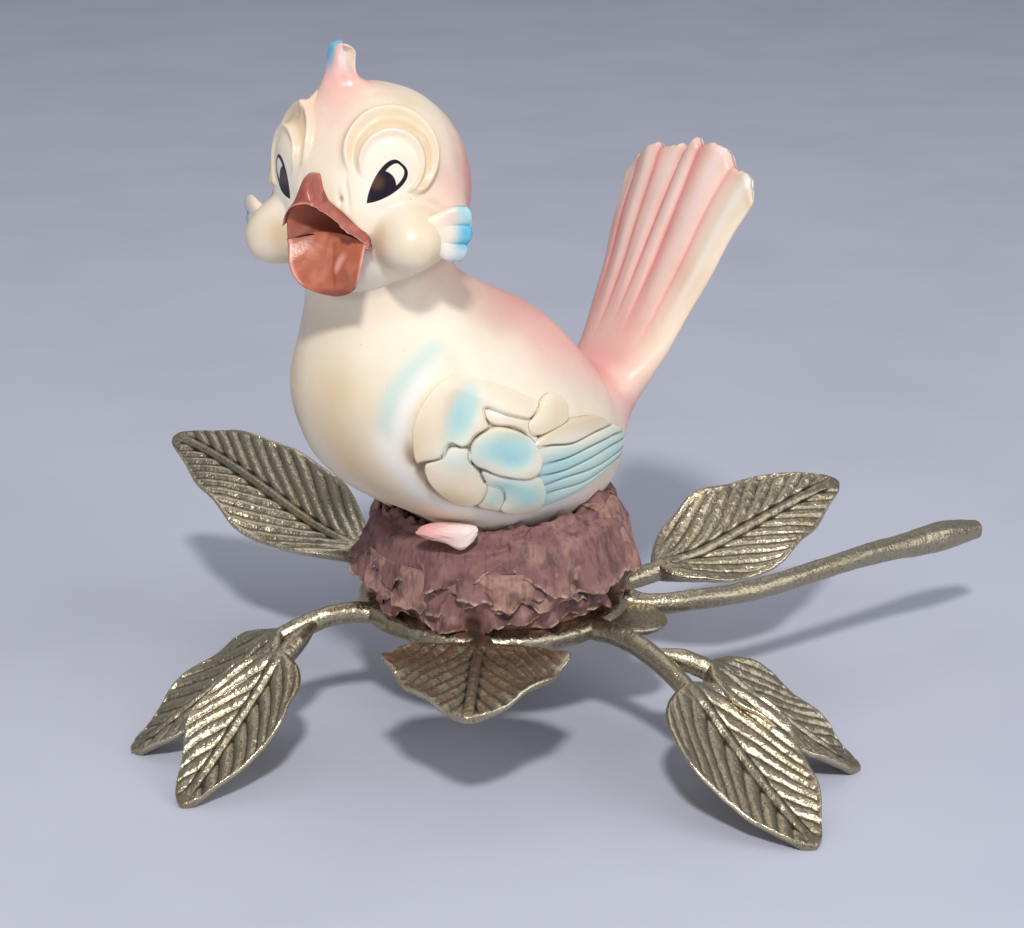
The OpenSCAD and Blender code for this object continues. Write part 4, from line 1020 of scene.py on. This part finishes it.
def wings():
    """Covert plates over the shoulder and flight feathers behind them, with each plate's airbrushed teal."""
    covert_paint, flight_paint = glazed("covert_glaze", CREAM), glazed("flight_glaze", CREAM)
    points, x, y, groove = wing_patch((-21, -15), (7, 14), COVERTS, 0.35,
                                      ((-15.0, 1.4, 1.9, 4.8, 0.9), (-6.0, -1.8, 4.0, 3.2, 0.7)), 1.0)

    def spot(cx, cy, rx, ry):
        return np.exp(-((x - cx)/rx)**2 - ((y - cy)/ry)**2)

    def pool(cx, cy, rx, ry):
        return np.exp(-(((x - cx)/rx)**2 + ((y - cy)/ry)**2)**2)
    teal = (0.7*pool(-14.8, 1.4, 1.7, 4.8) + 0.8*pool(-6.0, -1.8, 4.0, 3.2)
            + 0.6*spot(-10.6, -2.8, 2.0, 2.6) + 0.9*spot(0.4, -8.8, 4.4, 3.0)
            + 0.5*spot(-5.4, -10.5, 1.6, 2.6) + 0.35*spot(-13.6, -6.0, 2.4, 2.2))
    blue = (0.3*spot(-7.0, -2.6, 3.0, 2.0) + 0.22*spot(-15.4, 0.6, 1.2, 3.0)
            + 0.5*spot(-4.6, -7.6, 3.4, 1.4) + 0.3*spot(-9.4, -6.6, 1.2, 0.8))
    white = 0.8*spot(-10.8, 3.0, 1.6, 0.8) + 0.6*spot(-3.8, 0.4, 1.4, 1.0) + 0.6*spot(-14.2, -5.0, 1.6, 1.2)
    tan = (0.55*spot(-12, -12.6, 4.5, 1.8) + 0.45*spot(-18.5, -5, 1.6, 4) + 0.12*spot(-8, 8, 5, 4)
           + 0.45*spot(0, 7, 3, 3) + 0.3*spot(3.6, -11.5, 3, 2) + 0.16*ease((6 - y)/4))
    coverts = dict(teal=np.clip(teal, 0, 1), blue=np.clip(blue, 0, 1), white=white, tan=tan, groove=groove)
    # The dark lines between the flight feathers are painted shade.
    flights, fx, fy, flight_edge_shade = wing_patch((-4, -13), (24.5, 10.5), FLIGHTS, 0.22)
    low = ease((2.2 + 0.42*fx - fy)/5)
    flight = dict(teal=np.clip(low*0.6 + 0.08, 0, 1), blue=0.3*low*bell(fx - 3, 5), groove=flight_edge_shade,
                  tan=0.55*ease((fy - 0.35*fx - 1.5)/3), white=0.35*ease((fx - 13)/7))
    for side, way in (("left", 1), ("right", -1)):
        plates = grid(in_body(sided(points, way)), **coverts)
        piece(side + "_wing_coverts", [plates], covert_paint)
        feathers = grid(in_body(sided(flights, way)), **flight)
        piece(side + "_wing_primaries", [feathers], flight_paint)


def tail():
    """Fan along a curved spine: six feathers, each a pillow sin(pi share^1.7)^0.7 with its ridge off the
    middle, a torn wavy tip, and a root that flares into the body."""
    path, way, long = TAIL_PATH, TAIL_WAY, TAIL_LONG
    t = np.linspace(-0.2, 1, 280)[:, None]
    c = np.clip(t, 0, 1)
    w, face = loop(150, 150)
    side = np.array([0, 1.0, 0])
    along = bezier_way(path, c[:, 0])
    normal = np.cross(along, side)
    half = mix(8.2, 18.0, c**1.05)
    half = half*(1 + 0.012*np.sin(c*19 + (w > 0)*2))
    feather = np.interp(w, np.array([-1, -0.79, -0.45, -0.14, 0.12, 0.56, 1.0]), np.arange(7.0))
    share = feather - np.clip(np.floor(feather), 0, 5)
    pillow = np.where((feather < 0.66) | (feather > 5.66), 1.0, np.sin(np.pi*share**1.7).clip(0)**0.7)
    sway = rough(plane(w*15 + 0*c, c*9 + 0*w), 5.0, 73)
    stout = mix(4.2, 1.7, ease(c*2.2))
    thick = stout*np.clip(1 - np.abs(w)**4, 0, 1)**0.5
    spread = ease((c - 0.28 - 0.06*np.sin(feather*2.3))*2.6)
    relief = spread*(0.8*(pillow - 1)*(0.8 + 0.3*np.sin(feather*5)) + 0.12*sway)
    cup = 1.6*w*w*ease(c*2)
    ragged = 0.6*rough(plane(w*17, 0*w), 4.0, 71) + 0.3*rough(plane(w*17, 0*w), 1.5, 72)
    corners = -5.6*c**3*np.abs(w)**2.4 - 2.6*c**6*np.clip(np.abs(w)*5 - 4, 0, 1)**2
    crown = (1.5*bell(w - 0.22, 0.3) - 0.5*bell(w + 0.3, 0.3))*c**6
    torn = corners + crown - (1.1*(1 - pillow) + ragged)*c**8
    flare = 0.9*c**6*np.sin(feather*2.6 + 0.6)
    spine = bezier(path, c[:, 0]) + along*(t - c)*long
    points = (spine[:, None] + side*(half*w - 1.2*ease(c*2))[..., None] + way*torn[..., None]
              + normal[:, None]*((thick + relief)*face + cup + flare)[..., None])
    end = np.sqrt(np.clip(1 - ((c - 0.97)/0.03).clip(0)**2, 0, 1))
    middle = points.reshape(len(t), 2, 150, 3)
    paired = 0.5*(middle[:, 0] + middle[:, 1][:, ::-1])
    paired = np.concatenate([paired, paired[:, ::-1]], axis=1)
    points = paired + (points - paired)*end[..., None]
    edge_way = 4*w**3/half
    face_way = 2*face*np.sqrt(np.clip(1 - w**4, 0, 1))/stout
    ways = unit(side*edge_way[..., None] + normal[:, None]*face_way[..., None])
    points = fillet(points, ways, lambda q: above_egg(q) + 0.12, 6.0, 9.0)
    # line marks the valleys between the feathers; the dark tone drawn from it is painted shade.
    line = (1 - pillow)**2*spread
    root = np.exp(-c*4)
    pink = np.clip(0.58*(1 - ease((w - 0.3)*1.6))*(1 - 0.35*c) + 0.6*line*ease((0.8 - w)*4) + 0.7*root, 0, 1)
    rose = (0.3*ease((-w - 0.55)*4)*ease((c - 0.1)*3)*ease((0.95 - c)*4) + 0.25*line*ease((0.5 - w)*3)
            + 0.2*np.exp(-c*9))
    # White along each feather's ridge is a painted highlight; white at the very tip is the tail's own colour.
    white = 0.75*bell(share - 0.66, 0.16)*spread*ease((1 - w)*5) + 0.35*ease((c - 0.975)*40)
    # near the body's skin the tail takes the body's own colours
    away = ease(above_egg(points)/3.5)
    skin = unit(points)
    skin_pink, skin_rose = back_blush(skin)
    fields = dict(pink=mix(skin_pink, pink, away), rose=mix(skin_rose, rose, away),
                  white=mix(belly_white(skin, in_body(points)[..., 2]), white, away),
                  tan=0.16*ease((w - 0.5)*3)*ease(c*2) + 0.55*ease((c - 0.92)*12), groove=0.4*line**2*away)
    # the tip's two faces meet, and one more row closes the fan deep inside
    inner = paired[225]
    heart = inner.mean(axis=0)
    points = np.concatenate([points, (heart + 0.2*(inner - heart))[None]])
    fields = {key: np.concatenate([value + 0*t*w, (value + 0*t*w)[-1:]]) for key, value in fields.items()}
    piece("tail_fan", [grid(in_body(points), **fields)], glazed("tail_glaze", CREAM))


def feet():
    """Pads of pale clay between the belly and the nest: lumpy ovals, the left one set a little forward and
    the right one back."""
    paint = glazed("foot_glaze", colour(234, 206, 200), 0.5)
    for name, side in (("left_foot", 1), ("right_foot", -1)):
        low, high = (np.array(c)*1000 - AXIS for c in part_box(name))
        mid = (low + high)/2
        size = (high - low)/2
        rise, a = np.linspace(-88, 88, 60)[:, None], np.linspace(0, 360, 91)[:-1]
        d = direction(a, rise)
        lump = 1 + 0.07*rough(d*3, 3.4, 81 + side) + 0.03*rough(d*3, 1.0, 83 + side)
        drop = 1.7*bell(d[..., 0] - 0.45, 0.4)*np.clip(0.5 - 1.5*d[..., 2], 0, 1)
        tuck = 0.9 if side > 0 else -3.0
        place = mid - UP*(0.9 + drop[..., None]) - heading(np.asarray(40.0))*tuck
        points = place + d*size*[0.95, 0.85, 0.8]*lump[..., None]
        pad = grid(points, pink=0.9*ease(-d[..., 0] + 0.3), white=0.5*ease(d[..., 0] + 0.1))
        piece(name, [pad], paint)


# Nest

def barrel(h):
    """Radius of the nest at a share of its height: fullest below the middle, drawn in to ring and rim."""
    return 20.2 + 1.9*np.sin(np.pi*np.clip(h, 0, 1)**0.75)


def flake(around, sweep, top, edge, lift, tuck, rng):
    """Bark flake: a crumpled tongue that hangs from its top, rolled in over the rim, to a wavy free edge
    that is lowest in the middle. It stands off by v^2 between sides that lie close, its lip curls, and grain
    runs down it. The section is a closed loop over the outside and back inside."""
    u = np.linspace(-1, 1, 64)[:, None]
    w, face = loop(46, 24)
    v = (w + 1)/2
    tilt, seed = rng.uniform(-0.1, 0.1), int(rng.integers(1 << 30))
    span = u*sweep*0.2
    frayed = 0.12*rough(plane(span, 0*u), 6.0, seed) + 0.03*rough(plane(span, 0*u), 2.0, seed + 1)
    bottom = edge + 0.55*(top - edge)*np.abs(u)**2.8 + tilt*u + frayed
    h = mix(top, bottom, v**1.3)
    close = 1 - u**4
    ridges = 0.35 - np.abs(rough(plane(span, v*8), 7.0, seed + 5))
    crumple = 0.7*rough(plane(span, v*6), 7.5, seed + 2) + 0.7*ridges
    pleat = 1.7*rough(plane(span, v*2), 6.5, seed + 8)*ease((v - 0.3)*1.8)
    lip = 1.5*rough(plane(span, 0*v), 6.0, seed + 6)*ease((v - 0.78)/0.22)
    stand_off = (rng.uniform(0.5, 1.6)*v**2 + lip + pleat)*close + crumple*(0.35 + 0.65*v)*ease(v*3)
    stand_off = stand_off - tuck*np.clip(1 - v/0.28, 0, 1)**2
    angle = around + sweep/2*u + 2.5*rough(plane(span*0.6, v*5), 5.0, seed + 7)*(1 - np.abs(u))
    grain = 0.1*rough(plane(span, v*1.5), 1.4, seed + 3) + 0.12*rough(plane(span, v*8), 2.6, seed + 4)
    thick = mix(0.9, 0.4, v)*np.clip(1 - np.abs(u)**8, 0, 1)**0.5
    r = barrel(h) + lift*(1 - 0.6*u**4) + stand_off + np.where(face > 0, thick + grain, 0.0)
    points = heading(angle)*r[..., None] + UP*(RING_TOP + NEST_H*h)[..., None]
    rim = np.exp(-((1 - v)*8/0.34)**2)
    # Painted shade: dark on every underside and in the crumple's valleys.
    hollow = np.where(face < 0, 0.85, 0.8*ease(-(crumple + pleat)/1.1)*ease(v*3))
    return grid(points, edge=np.clip(rim, 0, 1) + 0*u, shade=rng.uniform(-1, 1) + 0*r, groove=hollow + 0*u)


def nest():
    """Core bowl and three tiers of flakes that overlap like tiles, the rim higher on the right."""
    paint = clay_paint("nest_bark")
    rng = np.random.default_rng(7)
    # flakes, first angle, share of height at the top and the free edge, lift off the core, roll over the rim
    for name, count, turn, top, edge, lift, tuck in (("nest_flakes_lower", 10, 6, 0.42, 0.02, 0.0, 0.0),
                                                     ("nest_flakes_middle", 9, 20, 0.66, 0.15, 0.5, 0.0),
                                                     ("nest_flakes_upper", 8, 2, 0.98, 0.38, 0.6, 4.5)):
        pitch = 360/count
        flakes = []
        for i in range(count):
            around = turn + i*pitch + rng.uniform(-0.22, 0.22)*pitch
            rim = rng.uniform(-0.04, 0.04) + (0.1*np.cos(np.radians(around - 25)) if tuck else 0.0)
            low = edge + rng.uniform(-0.08, 0.1)*(edge > 0.1)
            sweep = pitch*rng.uniform(1.6, 2.0)
            flakes.append(flake(around, sweep, top + rim, low, lift + 0.6*(i % 2), tuck, rng))
        piece(name, flakes, paint)
    around = np.linspace(0, 360, 241)[:-1, None]
    profile = np.array([(21.2, 0.0), (21.0, 6), (20.6, 12), (20.4, 15.6), (20.0, 17.0), (18.6, 17.6),
                        (16.6, 16.6), (14.0, 13.5), (9.0, 10.0), (3.0, 8.6), (2.4, 8.4), (2.4, 0.0)])
    steps = np.linspace(0, len(profile) - 1, 110)
    r, z = (np.interp(steps, np.arange(len(profile)), profile[:, k]) for k in range(2))
    points = heading(around[:, 0])[:, None]*r[:, None] + 0*around[..., None] + UP*(RING_TOP + z)[:, None]
    rim = ease((z - 9)/6)
    lump = (1.5*rough(points, 5.0, 91) + 0.6*rough(points, 1.8, 92))*rim
    lift = 1.2*np.cos(np.radians(around - 25))*rim
    points = points + UP*(lump + lift)[..., None]
    # The bowl's inside is darker toward the middle: painted shade.
    bowl = grid(points, ends=False, groove=0.5*ease((17 - r)/4)*(z > 5) + 0*around)
    piece("nest_core", [bowl], paint)


# Assembly

stand()
nest()
body()
head()
beaks()
crest()
tufts()
wings()
tail()
feet()

for node_name, finish in (("fixing_strap", brass_paint("strap_brass")),
                          ("fixing_stud", steel_paint("stud_steel")),
                          ("fixing_washer", steel_paint("washer_steel")),
                          ("fixing_nut", steel_paint("nut_steel"))):
    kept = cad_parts[node_name].data
    kept.materials.clear()
    kept.materials.append(finish.material)

# Set

bpy.ops.mesh.primitive_plane_add(size=6.0, location=(0, 0, 0))
floor = bpy.context.object
floor.name = "floor"
floor_paint = Paint("pale_cloth", Specular_IOR_Level=0.2, Roughness=0.8)
weave = floor_paint.noise(60, 3)
floor_paint.finish(floor_paint.blend(colour(194, 197, 211), colour(189, 192, 207), weave.step(0.35, 0.7)))
floor.data.materials.append(floor_paint.material)


def lamp(name, place, aim, size, watts, tone):
    """Square area lamp at a place in metres, aimed at a point."""
    data = bpy.data.lights.new(name, "AREA")
    data.size, data.energy, data.color = size, watts, tone
    made = bpy.data.objects.new(name, data)
    bpy.context.scene.collection.objects.link(made)
    made.location = place
    way = unit(np.array(aim) - np.array(place))
    made.rotation_euler = (np.arccos(-way[2]), 0, np.arctan2(-way[0], way[1]))


lamp("key", (-0.02, -0.74, 0.84), (0, 0, 0.06), 0.1, 7.5, (1.0, 0.98, 0.96))
lamp("front", (-0.3, -0.85, 0.25), (0, 0, 0.07), 0.5, 0.8, (1.0, 0.99, 0.98))
lamp("fill", (0.9, -0.5, 0.6), (0, 0, 0.05), 0.8, 4.0, (0.97, 0.98, 1.0))
lamp("top", (-0.1, 0.5, 1.1), (0, 0, 0.05), 0.8, 1.6, (1.0, 1.0, 1.0))

world = bpy.data.worlds.new("studio")
bpy.context.scene.world = world
world.use_nodes = True
back = world.node_tree.nodes["Background"]
back.inputs["Color"].default_value = (0.80, 0.83, 0.90, 1.0)
back.inputs["Strength"].default_value = 0.35

lens = bpy.data.cameras.new("photo_view")
lens.lens, lens.sensor_width = 83.1, 36.0
camera = bpy.data.objects.new("photo_view", lens)
bpy.context.scene.collection.objects.link(camera)
camera.location = (-0.01479, -0.40245, 0.1811)
camera.rotation_euler = (np.radians(90 - 18.83), 0, np.radians(-0.41))
bpy.context.scene.camera = camera
bpy.context.scene.view_settings.view_transform = "Standard"
